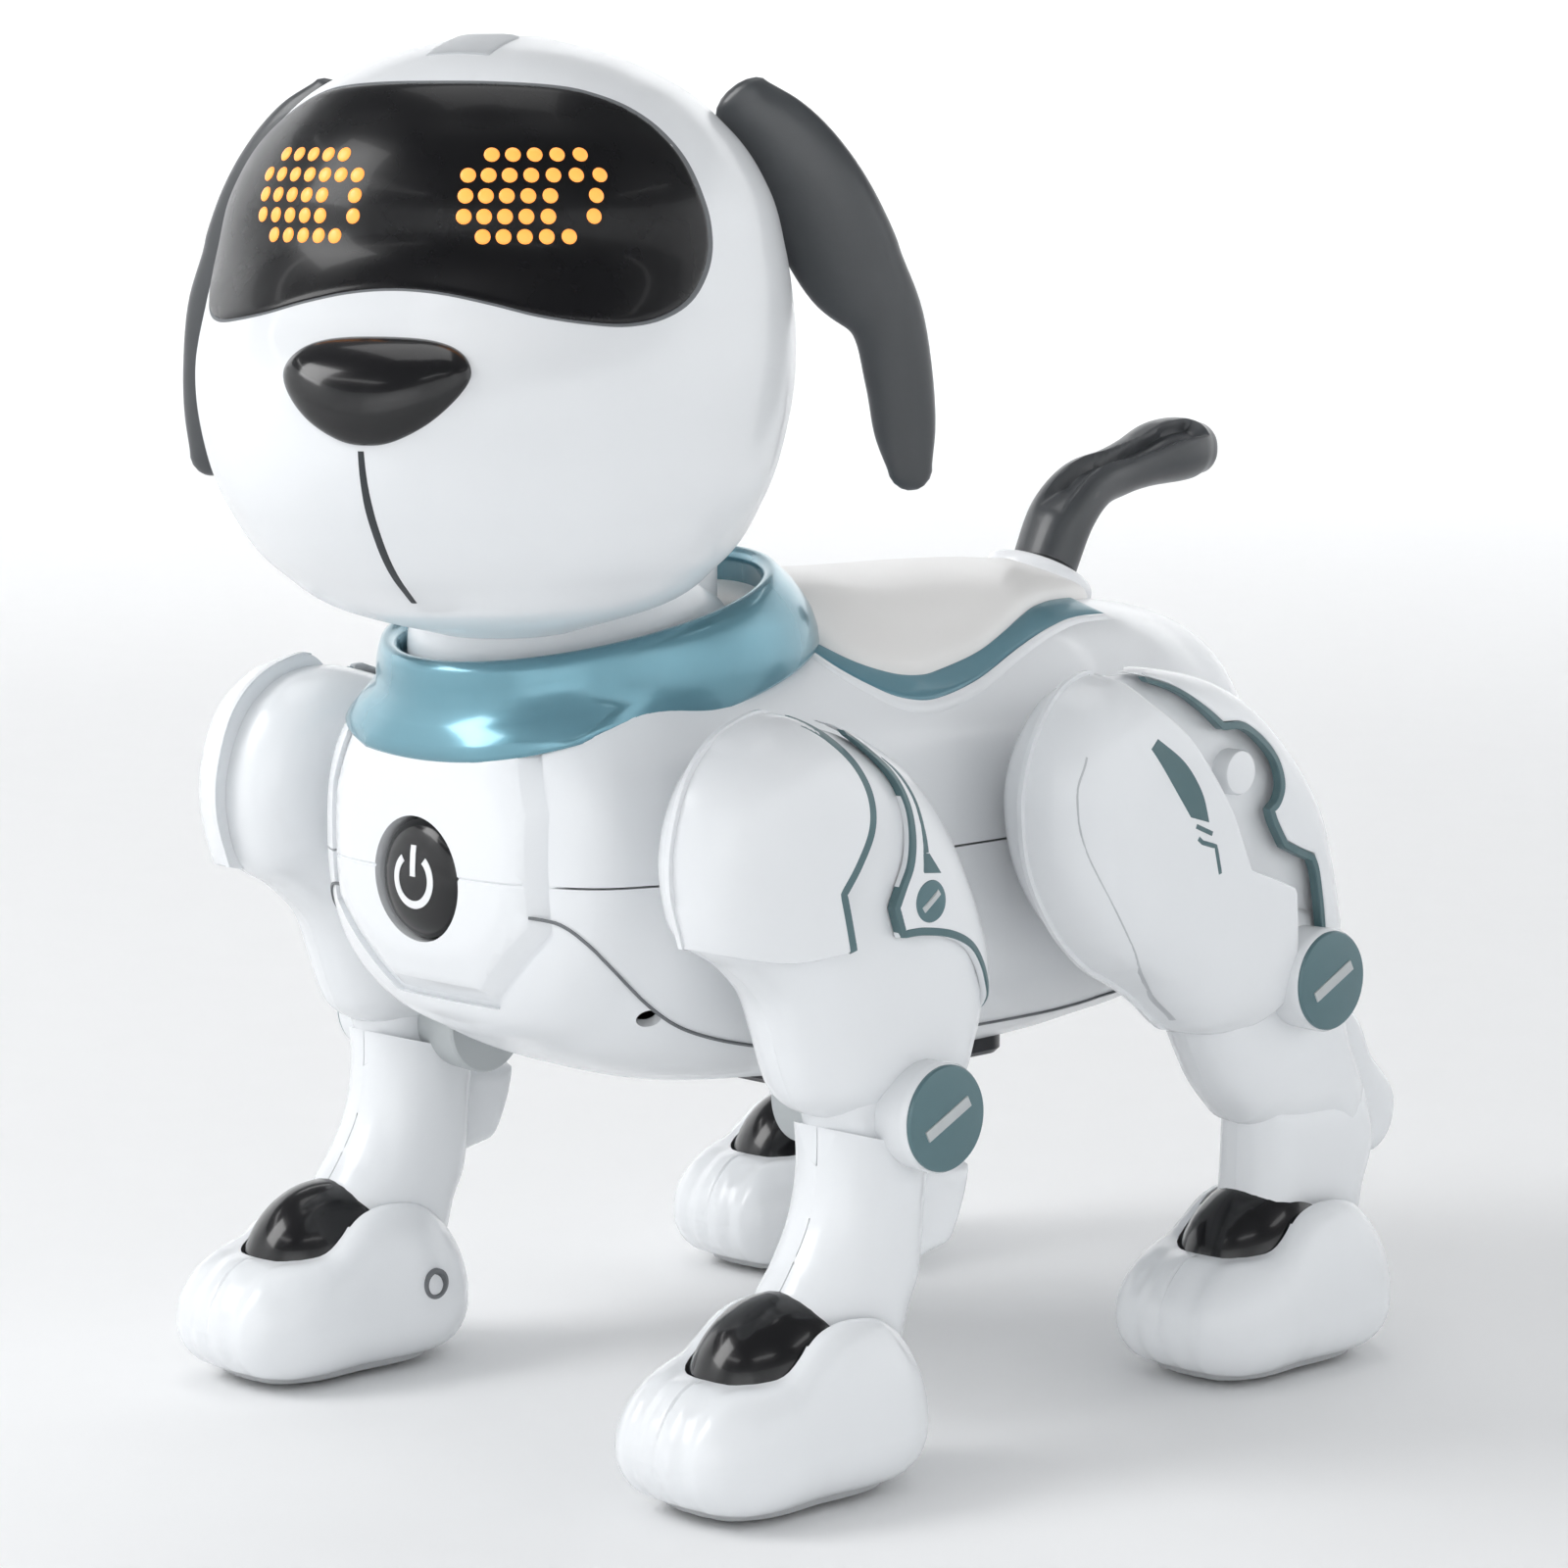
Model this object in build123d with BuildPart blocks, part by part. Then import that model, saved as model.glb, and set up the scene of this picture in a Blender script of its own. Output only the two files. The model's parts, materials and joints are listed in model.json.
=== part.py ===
"""Robot dog toy: shelled body, turning head, four driven legs with knee and ankle hinges.

Millimetres.  +Z is up, the dog looks along -Y, and its own left side is +X.
The origin is on the ground, midway between the four feet.
"""
import os
from math import cos, pi, radians, sin

from build123d import *

os.makedirs("parts", exist_ok=True)

# ---- driving dimensions ---------------------------------------------------
WALL = 2.2                  # moulded shell thickness
GAP = 0.5                   # clearance between pieces that move past each other
PIN_R = 2.5                 # hinge pins
RUNNING = 0.05              # radial clearance of a shaft in its bore

STANCE = 70.0               # front and rear feet stand this far from the middle
TRACK = 66.8                # feet stand this far from the centre plane
PARTING_Z = 115.0           # joint line between the upper and lower body shells

HEAD_TURN = 30.3            # the head looks this many degrees to the dog's left
NECK_Y = -58.0              # vertical axis the head turns about
HEAD_FORWARD = 40.2         # head centre ahead of that axis
HEAD_Z = 217.3              # height of the head centre
HEAD_R = 55.0               # half width of the head

# ---- torso ----------------------------------------------------------------
# station along the dog, half width, lowest and highest point of the section
TORSO_STATIONS = [
    (-97, 24, 99, 141),
    (-91, 36, 88, 149),
    (-78, 45, 79, 156),
    (-58, 49, 71, 160),
    (-25, 50, 66, 160),
    (15, 50, 65, 158),
    (55, 50, 66, 158),
    (85, 46, 71, 155),
    (104, 36, 82, 149),
    (113, 23, 98, 139),
]
SECTION_POINTS = 20
SQUARENESS = 2.5            # 2 is an ellipse, more is boxier


def torso_section(y, half_width, low, high):
    """Closed, slightly boxy oval across the body."""
    points = []
    for i in range(SECTION_POINTS):
        angle = 2 * pi * i / SECTION_POINTS
        across = abs(cos(angle)) ** (2 / SQUARENESS) * (1 if cos(angle) > 0 else -1)
        upward = abs(sin(angle)) ** (2 / SQUARENESS) * (1 if sin(angle) > 0 else -1)
        points.append((half_width * across, (high + low) / 2 + (high - low) / 2 * upward))
    with BuildSketch(Plane.XZ.offset(-y)) as section:
        with BuildLine():
            Spline(points, periodic=True)
        make_face()
    return section.sketch


def torso_form(inset):
    """The torso as a solid, made smaller by the inset or larger by a negative one."""
    with BuildPart() as form:
        sections = []
        for y, half_width, low, high in TORSO_STATIONS:
            at = y
            if y == TORSO_STATIONS[0][0]:
                at = y + inset
            if y == TORSO_STATIONS[-1][0]:
                at = y - inset
            sections.append(torso_section(at, half_width - inset, low + inset, high - inset))
        loft(sections)
    return form.part


def disc(plane, radius, length, at=(0, 0)):
    """Round bar standing on a plane."""
    with BuildPart(mode=Mode.PRIVATE) as bar:
        with BuildSketch(plane):
            with Locations(at):
                Circle(radius)
        extrude(amount=length)
    return bar.part


torso_outer = torso_form(0)
torso_inner = torso_form(WALL)

SHOULDER = (-76.0, 126.0)   # front leg drive axis, (y, z)
HIP = (24.0, 118.0)         # rear leg drive axis
DRIVE_HOLE_R = 9.0
SHAFT_R = 4.0

SADDLE_Y = 36.0             # middle of the back cover
SADDLE_LENGTH = 108.0
SADDLE_WIDTH = 66.0
SADDLE_RISE = 7.0
TAIL_FOOT = (0, 78.0, 163.0)
TAIL_LEAN = (0, 0.475, 0.88)
tail_plane = Plane(origin=TAIL_FOOT, x_dir=(1, 0, 0), z_dir=TAIL_LEAN)

NECK_R = 28.0
NECK_LOW = 137.0
BUTTON_Z = 113.6
BUTTON_R = 11.5
BUTTON_TRAVEL = 1.5
BUTTON_FACE_Y = -99.6

# screw posts: place across and along the dog, and the height of the post's top
POSTS = [(-30, -66, 105), (30, -66, 105), (-30, 88, 115), (30, 88, 115)]
POST_R = 5.0
SCREW_R = 1.5
SCREW_HEAD_R = 2.8
SCREW_SEAT_Z = 92.0
SCREW_HEAD = 2.0

# six-sided chest panel, half width at each height
PANEL_TOP = 150.0
PANEL_SHOULDER = 128.0
PANEL_WAIST = 107.0
PANEL_LOW = 93.0
PANEL_HALF_TOP = 21.0
PANEL_HALF = 28.0
PANEL_HALF_LOW = 13.0


def panel_prism(shrink):
    """The chest panel's outline carried through the front wall."""
    half_top = PANEL_HALF_TOP - shrink
    half = PANEL_HALF - shrink
    half_low = PANEL_HALF_LOW - shrink
    with BuildPart() as prism:
        with BuildSketch(Plane.XZ.offset(70)):
            with BuildLine():
                Polyline(
                    (-half_low, PANEL_LOW + shrink),
                    (half_low, PANEL_LOW + shrink),
                    (half, PANEL_WAIST),
                    (half, PANEL_SHOULDER),
                    (half_top, PANEL_TOP - shrink),
                    (-half_top, PANEL_TOP - shrink),
                    (-half, PANEL_SHOULDER),
                    (-half, PANEL_WAIST),
                    close=True,
                )
            make_face()
        extrude(amount=40)
    return prism.part


with BuildPart() as torso_walls:
    add(torso_outer)
    add(torso_inner, mode=Mode.SUBTRACT)
    add(panel_prism(0), mode=Mode.SUBTRACT)
    # leg drive shafts pass through both flanks
    for drive_y, drive_z in (SHOULDER, HIP):
        add(disc(Plane.YZ.offset(-60), DRIVE_HOLE_R, 120, (drive_y, drive_z)), mode=Mode.SUBTRACT)
    # neck opening and tail socket opening
    add(disc(Plane.XY.offset(NECK_LOW - 1), NECK_R + 2.5, 50, (0, NECK_Y)), mode=Mode.SUBTRACT)
    add(disc(tail_plane.offset(-25), 7.0, 40), mode=Mode.SUBTRACT)

with BuildPart() as screw_posts:
    for post_x, post_y, post_top in POSTS:
        add(disc(Plane.XY.offset(60), POST_R, post_top - 60, (post_x, post_y)))
        if post_top == PARTING_Z:
            add(disc(Plane.XY.offset(PARTING_Z), POST_R, 45, (post_x, post_y)))
    add(torso_outer, mode=Mode.INTERSECT)

BATTERY_BAY = (44.0, 62.0)  # opening in the belly, across and along
BATTERY_Y = 14.0

with BuildPart() as body_lower_shell:
    add(torso_walls.part)
    add(screw_posts.part)
    split(bisect_by=Plane.XY.offset(PARTING_Z), keep=Keep.BOTTOM)
    for post_x, post_y, post_top in POSTS:
        place = (post_x, post_y)
        add(disc(Plane.XY.offset(60), SCREW_HEAD_R + 0.3, SCREW_SEAT_Z - 60, place), mode=Mode.SUBTRACT)
        add(disc(Plane.XY.offset(60), SCREW_R, post_top - 60, place), mode=Mode.SUBTRACT)
    with BuildSketch(Plane.XY.offset(60)):
        with Locations((0, BATTERY_Y)):
            RectangleRounded(BATTERY_BAY[0], BATTERY_BAY[1], 6)
    extrude(amount=15, mode=Mode.SUBTRACT)
body_lower_shell.part.label = "body_lower_shell"
export_step(body_lower_shell.part, "parts/body_lower_shell.step")

with BuildPart() as body_upper_shell:
    add(torso_walls.part)
    add(screw_posts.part)
    split(bisect_by=Plane.XY.offset(PARTING_Z), keep=Keep.TOP)
body_upper_shell.part.label = "body_upper_shell"
export_step(body_upper_shell.part, "parts/body_upper_shell.step")

with BuildPart() as chest_panel:
    add(torso_outer)
    add(torso_inner, mode=Mode.SUBTRACT)
    add(panel_prism(0.15), mode=Mode.INTERSECT)
    add(disc(Plane.XZ.offset(70), BUTTON_R + 0.4, 40, (0, BUTTON_Z)), mode=Mode.SUBTRACT)
    add(disc(Plane.XY.offset(130), NECK_R + 2.5, 40, (0, NECK_Y)), mode=Mode.SUBTRACT)
chest_panel.part.label = "chest_panel"
export_step(chest_panel.part, "parts/chest_panel.step")

with BuildPart() as body_screws:
    for post_x, post_y, post_top in POSTS:
        head_z = SCREW_SEAT_Z - SCREW_HEAD
        add(disc(Plane.XY.offset(head_z), SCREW_HEAD_R, SCREW_HEAD, (post_x, post_y)))
        add(disc(Plane.XY.offset(SCREW_SEAT_Z), SCREW_R, post_top - SCREW_SEAT_Z, (post_x, post_y)))
body_screws.part.label = "body_screws"
export_step(body_screws.part, "parts/body_screws.step")

with BuildPart() as battery_cover:
    with BuildSketch(Plane.XY.offset(63.5)):
        with Locations((0, BATTERY_Y)):
            RectangleRounded(BATTERY_BAY[0] - 0.4, BATTERY_BAY[1] - 0.4, 5.8)
    extrude(amount=5.5)
    chamfer(battery_cover.faces().sort_by(Axis.Z)[0].edges(), 1)
battery_cover.part.label = "battery_cover"
export_step(battery_cover.part, "parts/battery_cover.step")

with BuildPart() as battery_pack:
    with BuildSketch(Plane.XY.offset(70)):
        with Locations((0, BATTERY_Y)):
            RectangleRounded(36, 54, 3)
    extrude(amount=17)
battery_pack.part.label = "battery_pack"
export_step(battery_pack.part, "parts/battery_pack.step")

with BuildPart() as main_board:
    with BuildSketch(Plane.XY.offset(92)):
        with Locations((0, BATTERY_Y)):
            Rectangle(40, 84)
    extrude(amount=1.6)
    # chips, plug headers and two tall capacitors
    with BuildSketch(Plane.XY.offset(93.6)):
        with Locations((-8, 4), (9, 30)):
            Rectangle(10, 10)
        with GridLocations(0, 22, 1, 3):
            with Locations((15, 10)):
                Rectangle(6, 9)
    extrude(amount=3)
    with BuildSketch(Plane.XY.offset(93.6)):
        with Locations((-12, 26), (-12, 36)):
            Circle(3.5)
    extrude(amount=9)
main_board.part.label = "main_board"
export_step(main_board.part, "parts/main_board.step")

with BuildPart() as speaker:
    with BuildSketch(Plane.XY.offset(74)):
        with Locations((0, -42)):
            Circle(16)
    extrude(amount=3)
    with BuildSketch(Plane.XY.offset(77)):
        with Locations((0, -42)):
            Circle(9)
    extrude(amount=7)
speaker.part.label = "speaker"
export_step(speaker.part, "parts/speaker.step")

# one geared motor unit inside each flank, its output bore facing the leg
GEARBOX_OUT_X = 46.0
GEARBOX_IN_X = 19.0
BORE_DEPTH = 12.0
torso_cavity = torso_form(WALL + GAP)


def gearbox_pair(shaft, housing, size, motor):
    """Two mirrored gear housings with their output bores and can motors, placed by (y, z)."""
    with BuildPart() as pair:
        for side in (1, -1):
            with BuildSketch(Plane.YZ.offset(side * GEARBOX_IN_X)):
                with Locations(housing):
                    RectangleRounded(size[0], size[1], 3)
            extrude(amount=side * (GEARBOX_OUT_X - GEARBOX_IN_X))
            with BuildSketch(Plane.YZ.offset(side * GEARBOX_IN_X)):
                with Locations(motor):
                    Circle(9)
            extrude(amount=-side * 15)
        add(torso_cavity, mode=Mode.INTERSECT)
        for side in (1, -1):
            bore_plane = Plane.YZ.offset(side * (GEARBOX_OUT_X + 1))
            add(disc(bore_plane, SHAFT_R + RUNNING, -side * (BORE_DEPTH + 1), shaft), mode=Mode.SUBTRACT)
    return pair.part


with BuildPart() as front_gearboxes:
    add(gearbox_pair(SHOULDER, (-68, 120), (34, 27), (-64, 102)))
front_gearboxes.part.label = "front_gearboxes"
export_step(front_gearboxes.part, "parts/front_gearboxes.step")

with BuildPart() as rear_gearboxes:
    add(gearbox_pair(HIP, (34, 118), (40, 28), (40, 118)))
rear_gearboxes.part.label = "rear_gearboxes"
export_step(rear_gearboxes.part, "parts/rear_gearboxes.step")

NECK_SHAFT_R = 5.0
NECK_BOX = (28.0, 26.0)
NECK_BOX_LOW = 114.0
NECK_BOX_TOP = 134.0
with BuildPart() as neck_gearbox:
    with BuildSketch(Plane.XY.offset(NECK_BOX_LOW)):
        with Locations((0, NECK_Y)):
            RectangleRounded(NECK_BOX[0], NECK_BOX[1], 3)
    extrude(amount=NECK_BOX_TOP - NECK_BOX_LOW)
    add(
        disc(Plane.XY.offset(NECK_BOX_TOP), NECK_SHAFT_R + RUNNING, -14, (0, NECK_Y)),
        mode=Mode.SUBTRACT,
    )
neck_gearbox.part.label = "neck_gearbox"
export_step(neck_gearbox.part, "parts/neck_gearbox.step")

# tilted collar: an oblique band, larger at its lower edge, resting on the body
COLLAR_LOW = Plane(origin=(0, -46.5, 147.3), x_dir=(1, 0, 0), z_dir=(0, -sin(radians(14)), cos(radians(14))))
COLLAR_TOP = Plane(origin=(0, -56.5, 163.0), x_dir=(1, 0, 0), z_dir=(0, -sin(radians(12.7)), cos(radians(12.7))))
COLLAR_WALL = 5.0


def collar_form(inset):
    """Oblique cone between the collar's two rims."""
    with BuildPart() as cone:
        with BuildSketch(COLLAR_LOW):
            Ellipse(42 - inset, 46 - inset)
        with BuildSketch(COLLAR_TOP):
            Ellipse(39 - inset, 41.5 - inset)
        loft()
    return cone.part


with BuildPart() as neck_collar:
    add(collar_form(0))
    add(collar_form(COLLAR_WALL), mode=Mode.SUBTRACT)
    add(torso_outer, mode=Mode.SUBTRACT)
    add(disc(Plane.XY.offset(120), NECK_R + 2.5, 80, (0, NECK_Y)), mode=Mode.SUBTRACT)
neck_collar.part.label = "neck_collar"
export_step(neck_collar.part, "parts/neck_collar.step")


def saddle_outline(grow):
    """Plan of the back cover: rounded at the rear, drawn in at the waist."""
    half = SADDLE_WIDTH / 2 + grow
    front = SADDLE_Y - SADDLE_LENGTH / 2 - grow
    rear = SADDLE_Y + SADDLE_LENGTH / 2 + grow
    with BuildSketch(Plane.XY.offset(135)) as outline:
        with BuildLine():
            Spline(
                (0, front),
                (half * 0.92, front + 14),
                (half, SADDLE_Y - 16),
                (half * 0.9, SADDLE_Y + 14),
                (half * 0.62, rear - 14),
                (0, rear),
                (-half * 0.62, rear - 14),
                (-half * 0.9, SADDLE_Y + 14),
                (-half, SADDLE_Y - 16),
                (-half * 0.92, front + 14),
                periodic=True,
            )
        make_face()
    return outline.sketch


collar_block = collar_form(-GAP / 2)

with BuildPart() as back_cover:
    add(torso_form(-SADDLE_RISE))
    with BuildPart(mode=Mode.PRIVATE) as saddle_prism:
        extrude(saddle_outline(0), amount=60)
    add(saddle_prism.part, mode=Mode.INTERSECT)
    add(torso_outer, mode=Mode.SUBTRACT)
    add(collar_block, mode=Mode.SUBTRACT)
    add(disc(tail_plane.offset(-25), 12.2, 60), mode=Mode.SUBTRACT)
back_cover.part.label = "back_cover"
export_step(back_cover.part, "parts/back_cover.step")

TRIM_WIDTH = 3.0
TRIM_RISE = 1.2
with BuildPart() as back_trim:
    add(torso_form(-TRIM_RISE))
    with BuildPart(mode=Mode.PRIVATE) as trim_prism:
        extrude(saddle_outline(TRIM_WIDTH), amount=60)
        extrude(saddle_outline(0), amount=60, mode=Mode.SUBTRACT)
    add(trim_prism.part, mode=Mode.INTERSECT)
    add(torso_outer, mode=Mode.SUBTRACT)
    add(collar_block, mode=Mode.SUBTRACT)
back_trim.part.label = "back_trim"
export_step(back_trim.part, "parts/back_trim.step")

# ---- tail -----------------------------------------------------------------
TAIL_PEG_R = 3.5
with BuildPart() as tail_socket:
    add(disc(tail_plane.offset(-16), 12.0, 14))
    fillet(tail_socket.faces().sort_by(Axis.Z)[-1].edges(), 2.5)
    add(torso_outer, mode=Mode.SUBTRACT)
    add(disc(tail_plane.offset(-24), 6.8, 18))
    add(disc(tail_plane.offset(-14), TAIL_PEG_R + RUNNING, 20), mode=Mode.SUBTRACT)
tail_socket.part.label = "tail_socket"
export_step(tail_socket.part, "parts/tail_socket.step")

# centre line of the tail in the dog's middle plane, with half width and half thickness
TAIL_STATIONS = [
    (78.7, 163.6, 7.2, 6.2),
    (83.2, 172.2, 7.6, 6.0),
    (90.5, 178.4, 7.2, 5.6),
    (99.5, 180.8, 6.7, 5.2),
    (107.0, 182.6, 7.2, 5.6),
    (115.0, 184.4, 8.6, 6.8),
    (122.0, 185.0, 8.4, 6.8),
    (127.5, 184.8, 5.5, 4.6),
    (129.5, 184.7, 2.8, 2.4),
]
with BuildPart() as tail:
    tail_sections = []
    for i, (tail_y, tail_z, half_width, half_thick) in enumerate(TAIL_STATIONS):
        before = TAIL_STATIONS[max(i - 1, 0)]
        after = TAIL_STATIONS[min(i + 1, len(TAIL_STATIONS) - 1)]
        along = (0, after[0] - before[0], after[1] - before[1])
        with BuildSketch(Plane(origin=(0, tail_y, tail_z), x_dir=(1, 0, 0), z_dir=along)) as section:
            Ellipse(half_width, half_thick)
        tail_sections.append(section.sketch)
    loft(tail_sections)
    add(disc(tail_plane.offset(2), TAIL_PEG_R, -14))
    add(disc(tail_plane.offset(2), TAIL_PEG_R + 2, -1.6))
tail.part.label = "tail"
export_step(tail.part, "parts/tail.step")

# ---- power button ---------------------------------------------------------
with BuildPart() as power_button:
    with BuildSketch(Plane.YZ):
        with BuildLine():
            ThreePointArc(
                (BUTTON_FACE_Y, BUTTON_Z),
                (BUTTON_FACE_Y + 0.8, BUTTON_Z + BUTTON_R * 0.55),
                (BUTTON_FACE_Y + 3, BUTTON_Z + BUTTON_R),
            )
            Polyline(
                (BUTTON_FACE_Y + 3, BUTTON_Z + BUTTON_R),
                (BUTTON_FACE_Y + 11, BUTTON_Z + BUTTON_R),
                (BUTTON_FACE_Y + 11, BUTTON_Z),
                (BUTTON_FACE_Y, BUTTON_Z),
            )
        make_face()
    revolve(axis=Axis((0, 0, BUTTON_Z), (0, 1, 0)))
power_button.part.label = "power_button"
export_step(power_button.part, "parts/power_button.step")

# ---- head -----------------------------------------------------------------
turn = radians(HEAD_TURN)
FORWARD = Vector(sin(turn), -cos(turn), 0)
LEFTWARD = Vector(cos(turn), sin(turn), 0)
UPWARD = Vector(0, 0, 1)
HEAD_CENTRE = Vector(0, NECK_Y, HEAD_Z) + FORWARD * HEAD_FORWARD


def head_point(forward, leftward, upward):
    """A point given by its distances from the head's centre."""
    return HEAD_CENTRE + FORWARD * forward + LEFTWARD * leftward + UPWARD * upward


def head_side(leftward=0):
    """Plane seen from the head's side: x runs forward and y runs up."""
    return Plane(origin=head_point(0, leftward, 0), x_dir=FORWARD, z_dir=FORWARD.cross(UPWARD))


def head_face(forward=0, lean=0):
    """Plane seen from the front of the head: x runs to its left, leaning back by an angle."""
    tilt = radians(lean)
    normal = FORWARD * cos(tilt) + UPWARD * sin(tilt)
    return Plane(origin=head_point(forward, 0, 0), x_dir=LEFTWARD, z_dir=normal)


# level sections of the head: height, reach ahead and behind, half width
HEAD_STATIONS = [
    (-55, 15, 10, 12),
    (-50, 37, 25, 28.5),
    (-42, 55, 37, 40),
    (-30, 69, 45, 48),
    (-16, 75, 50, 52.5),
    (-4, 73, 52, 54),
    (6, 64, 51.5, 53.5),
    (16, 55.5, 50, 52),
    (27, 52, 46, 49),
    (38, 46, 40, 41.5),
    (47, 36, 29, 30),
    (52, 23, 17, 18),
    (54.7, 10, 5, 7),
]


def head_form(inset):
    """The whole egg of the head with its muzzle, drawn in evenly by the inset."""
    shrink = 1 - inset / HEAD_R
    sections = []
    for height, ahead, behind, half_width in HEAD_STATIONS:
        points = []
        for i in range(SECTION_POINTS):
            angle = 2 * pi * i / SECTION_POINTS
            reach = ahead if cos(angle) > 0 else behind
            points.append((reach * shrink * cos(angle), half_width * shrink * sin(angle)))
        level = Plane(origin=head_point(0, 0, height * shrink), x_dir=FORWARD, z_dir=UPWARD)
        with BuildSketch(level) as section:
            with BuildLine():
                Spline(points, periodic=True)
            make_face()
        sections.append(section.sketch)
    with BuildPart() as form:
        loft(sections)
    return form.part


head_outer = head_form(0)
head_inner = head_form(WALL)

EAR_BACK = -24.0            # ear peg, behind and above the head's centre
EAR_UP = 33.0
EAR_PEG_R = 3.0
EAR_PEG_OUT = 43.0
PAD_AHEAD = 8.0
PAD_SIZE = (12.0, 22.0)
SEAM_BACK = -14.0           # joint line between the front and rear head shells
VISOR_DEPTH = 1.4


def visor_prism(shrink):
    """The visor's drooping rounded outline, carried forward through the face."""
    with BuildPart() as prism:
        with BuildSketch(head_face(8)):
            with BuildLine():
                Spline(
                    (0, 14 + shrink),
                    (26, 8 + shrink),
                    (43 - shrink, 9 + shrink),
                    (50 - shrink, 22),
                    (40 - shrink, 40 - shrink),
                    (20, 46.5 - shrink),
                    (0, 47.5 - shrink),
                    (-20, 46.5 - shrink),
                    (-40 + shrink, 40 - shrink),
                    (-50 + shrink, 22),
                    (-43 + shrink, 9 + shrink),
                    (-26, 8 + shrink),
                    periodic=True,
                )
            make_face()
        extrude(amount=60)
    return prism.part


with BuildPart() as visor:
    add(head_outer)
    add(head_form(VISOR_DEPTH), mode=Mode.SUBTRACT)
    add(visor_prism(0), mode=Mode.INTERSECT)
visor.part.label = "visor"
export_step(visor.part, "parts/visor.step")

with BuildPart() as touch_pad:
    add(head_outer)
    add(head_inner, mode=Mode.SUBTRACT)
    pad_plane = Plane(origin=head_point(PAD_AHEAD, 0, 40), x_dir=FORWARD, z_dir=UPWARD)
    with BuildSketch(pad_plane, mode=Mode.PRIVATE) as pad_outline:
        RectangleRounded(PAD_SIZE[0], PAD_SIZE[1], 2)
    extrude(pad_outline.sketch, amount=30, mode=Mode.INTERSECT)
touch_pad.part.label = "touch_pad"
export_step(touch_pad.part, "parts/touch_pad.step")

with BuildPart() as head_walls:
    add(head_outer)
    add(head_inner, mode=Mode.SUBTRACT)
    add(visor.part, mode=Mode.SUBTRACT)
    add(touch_pad.part, mode=Mode.SUBTRACT)
    # ear peg holes
    ear_hole_plane = Plane(origin=head_point(EAR_BACK, -60, EAR_UP), x_dir=FORWARD, z_dir=LEFTWARD)
    add(disc(ear_hole_plane, EAR_PEG_R + RUNNING, 120), mode=Mode.SUBTRACT)
    # window for the lamps behind the visor
    lamp_plane = Plane(origin=head_point(8, 0, 27), x_dir=LEFTWARD, z_dir=FORWARD)
    with BuildSketch(lamp_plane, mode=Mode.PRIVATE) as window:
        RectangleRounded(64, 20, 5)
    extrude(window.sketch, amount=60, mode=Mode.SUBTRACT)

seam_plane = Plane(origin=head_point(SEAM_BACK, 0, 0), x_dir=LEFTWARD, z_dir=FORWARD)
with BuildPart() as head_front_shell:
    add(head_walls.part)
    split(bisect_by=seam_plane, keep=Keep.TOP)
head_front_shell.part.label = "head_front_shell"
export_step(head_front_shell.part, "parts/head_front_shell.step")

with BuildPart() as head_rear_shell:
    add(head_walls.part)
    split(bisect_by=seam_plane, keep=Keep.BOTTOM)
head_rear_shell.part.label = "head_rear_shell"
export_step(head_rear_shell.part, "parts/head_rear_shell.step")

NOSE_AHEAD = 68.5
NOSE_DROP = 6.0
NOSE_HALF_W = 16.0
NOSE_R = 9.5
with BuildPart() as nose:
    nose_plane = Plane(origin=head_point(NOSE_AHEAD, 0, -NOSE_DROP), x_dir=LEFTWARD, z_dir=UPWARD)
    with BuildSketch(nose_plane):
        Ellipse(NOSE_HALF_W, NOSE_R)
        with Locations((0, NOSE_R)):
            Rectangle(2 * NOSE_HALF_W, 2 * NOSE_R, mode=Mode.SUBTRACT)
    revolve(axis=Axis(head_point(NOSE_AHEAD, 0, -NOSE_DROP), LEFTWARD))
    add(head_outer, mode=Mode.SUBTRACT)
nose.part.label = "nose"
export_step(nose.part, "parts/nose.step")

BOARD_LEAN = 25.0
board_plane = Plane(
    origin=head_point(30, 0, 25),
    x_dir=LEFTWARD,
    z_dir=FORWARD * cos(radians(BOARD_LEAN)) + UPWARD * sin(radians(BOARD_LEAN)),
)
with BuildPart() as lamp_board:
    with BuildSketch(board_plane):
        RectangleRounded(62, 20, 1)
    extrude(amount=-1.6)
lamp_board.part.label = "lamp_board"
export_step(lamp_board.part, "parts/lamp_board.step")

with BuildPart() as eye_lamps:
    with BuildSketch(board_plane):
        with GridLocations(38, 0, 2, 1):
            Rectangle(20, 15)
    extrude(amount=4)
eye_lamps.part.label = "eye_lamps"
export_step(eye_lamps.part, "parts/eye_lamps.step")

NECK_TOP = 178.0
with BuildPart() as neck_tube:
    add(disc(Plane.XY.offset(NECK_LOW), NECK_R, NECK_TOP - NECK_LOW, (0, NECK_Y)))
    fillet(neck_tube.faces().sort_by(Axis.Z)[-1].edges(), 3)
    add(
        disc(Plane.XY.offset(NECK_LOW + 3), NECK_R - 2.5, NECK_TOP - NECK_LOW - 5.5, (0, NECK_Y)),
        mode=Mode.SUBTRACT,
    )
    add(head_outer, mode=Mode.SUBTRACT)
    add(disc(Plane.XY.offset(NECK_LOW), NECK_SHAFT_R, -14, (0, NECK_Y)))
neck_tube.part.label = "neck_tube"
export_step(neck_tube.part, "parts/neck_tube.step")

with BuildPart() as head_screws:
    for screw_side, screw_up in ((-30, -20), (30, -20), (0, 40)):
        screw_plane = Plane(
            origin=head_point(SEAM_BACK - 8, screw_side, screw_up), x_dir=LEFTWARD, z_dir=FORWARD
        )
        add(disc(screw_plane, SCREW_R, 14))
        add(disc(screw_plane, SCREW_HEAD_R, -2))
head_screws.part.label = "head_screws"
export_step(head_screws.part, "parts/head_screws.step")

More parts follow.
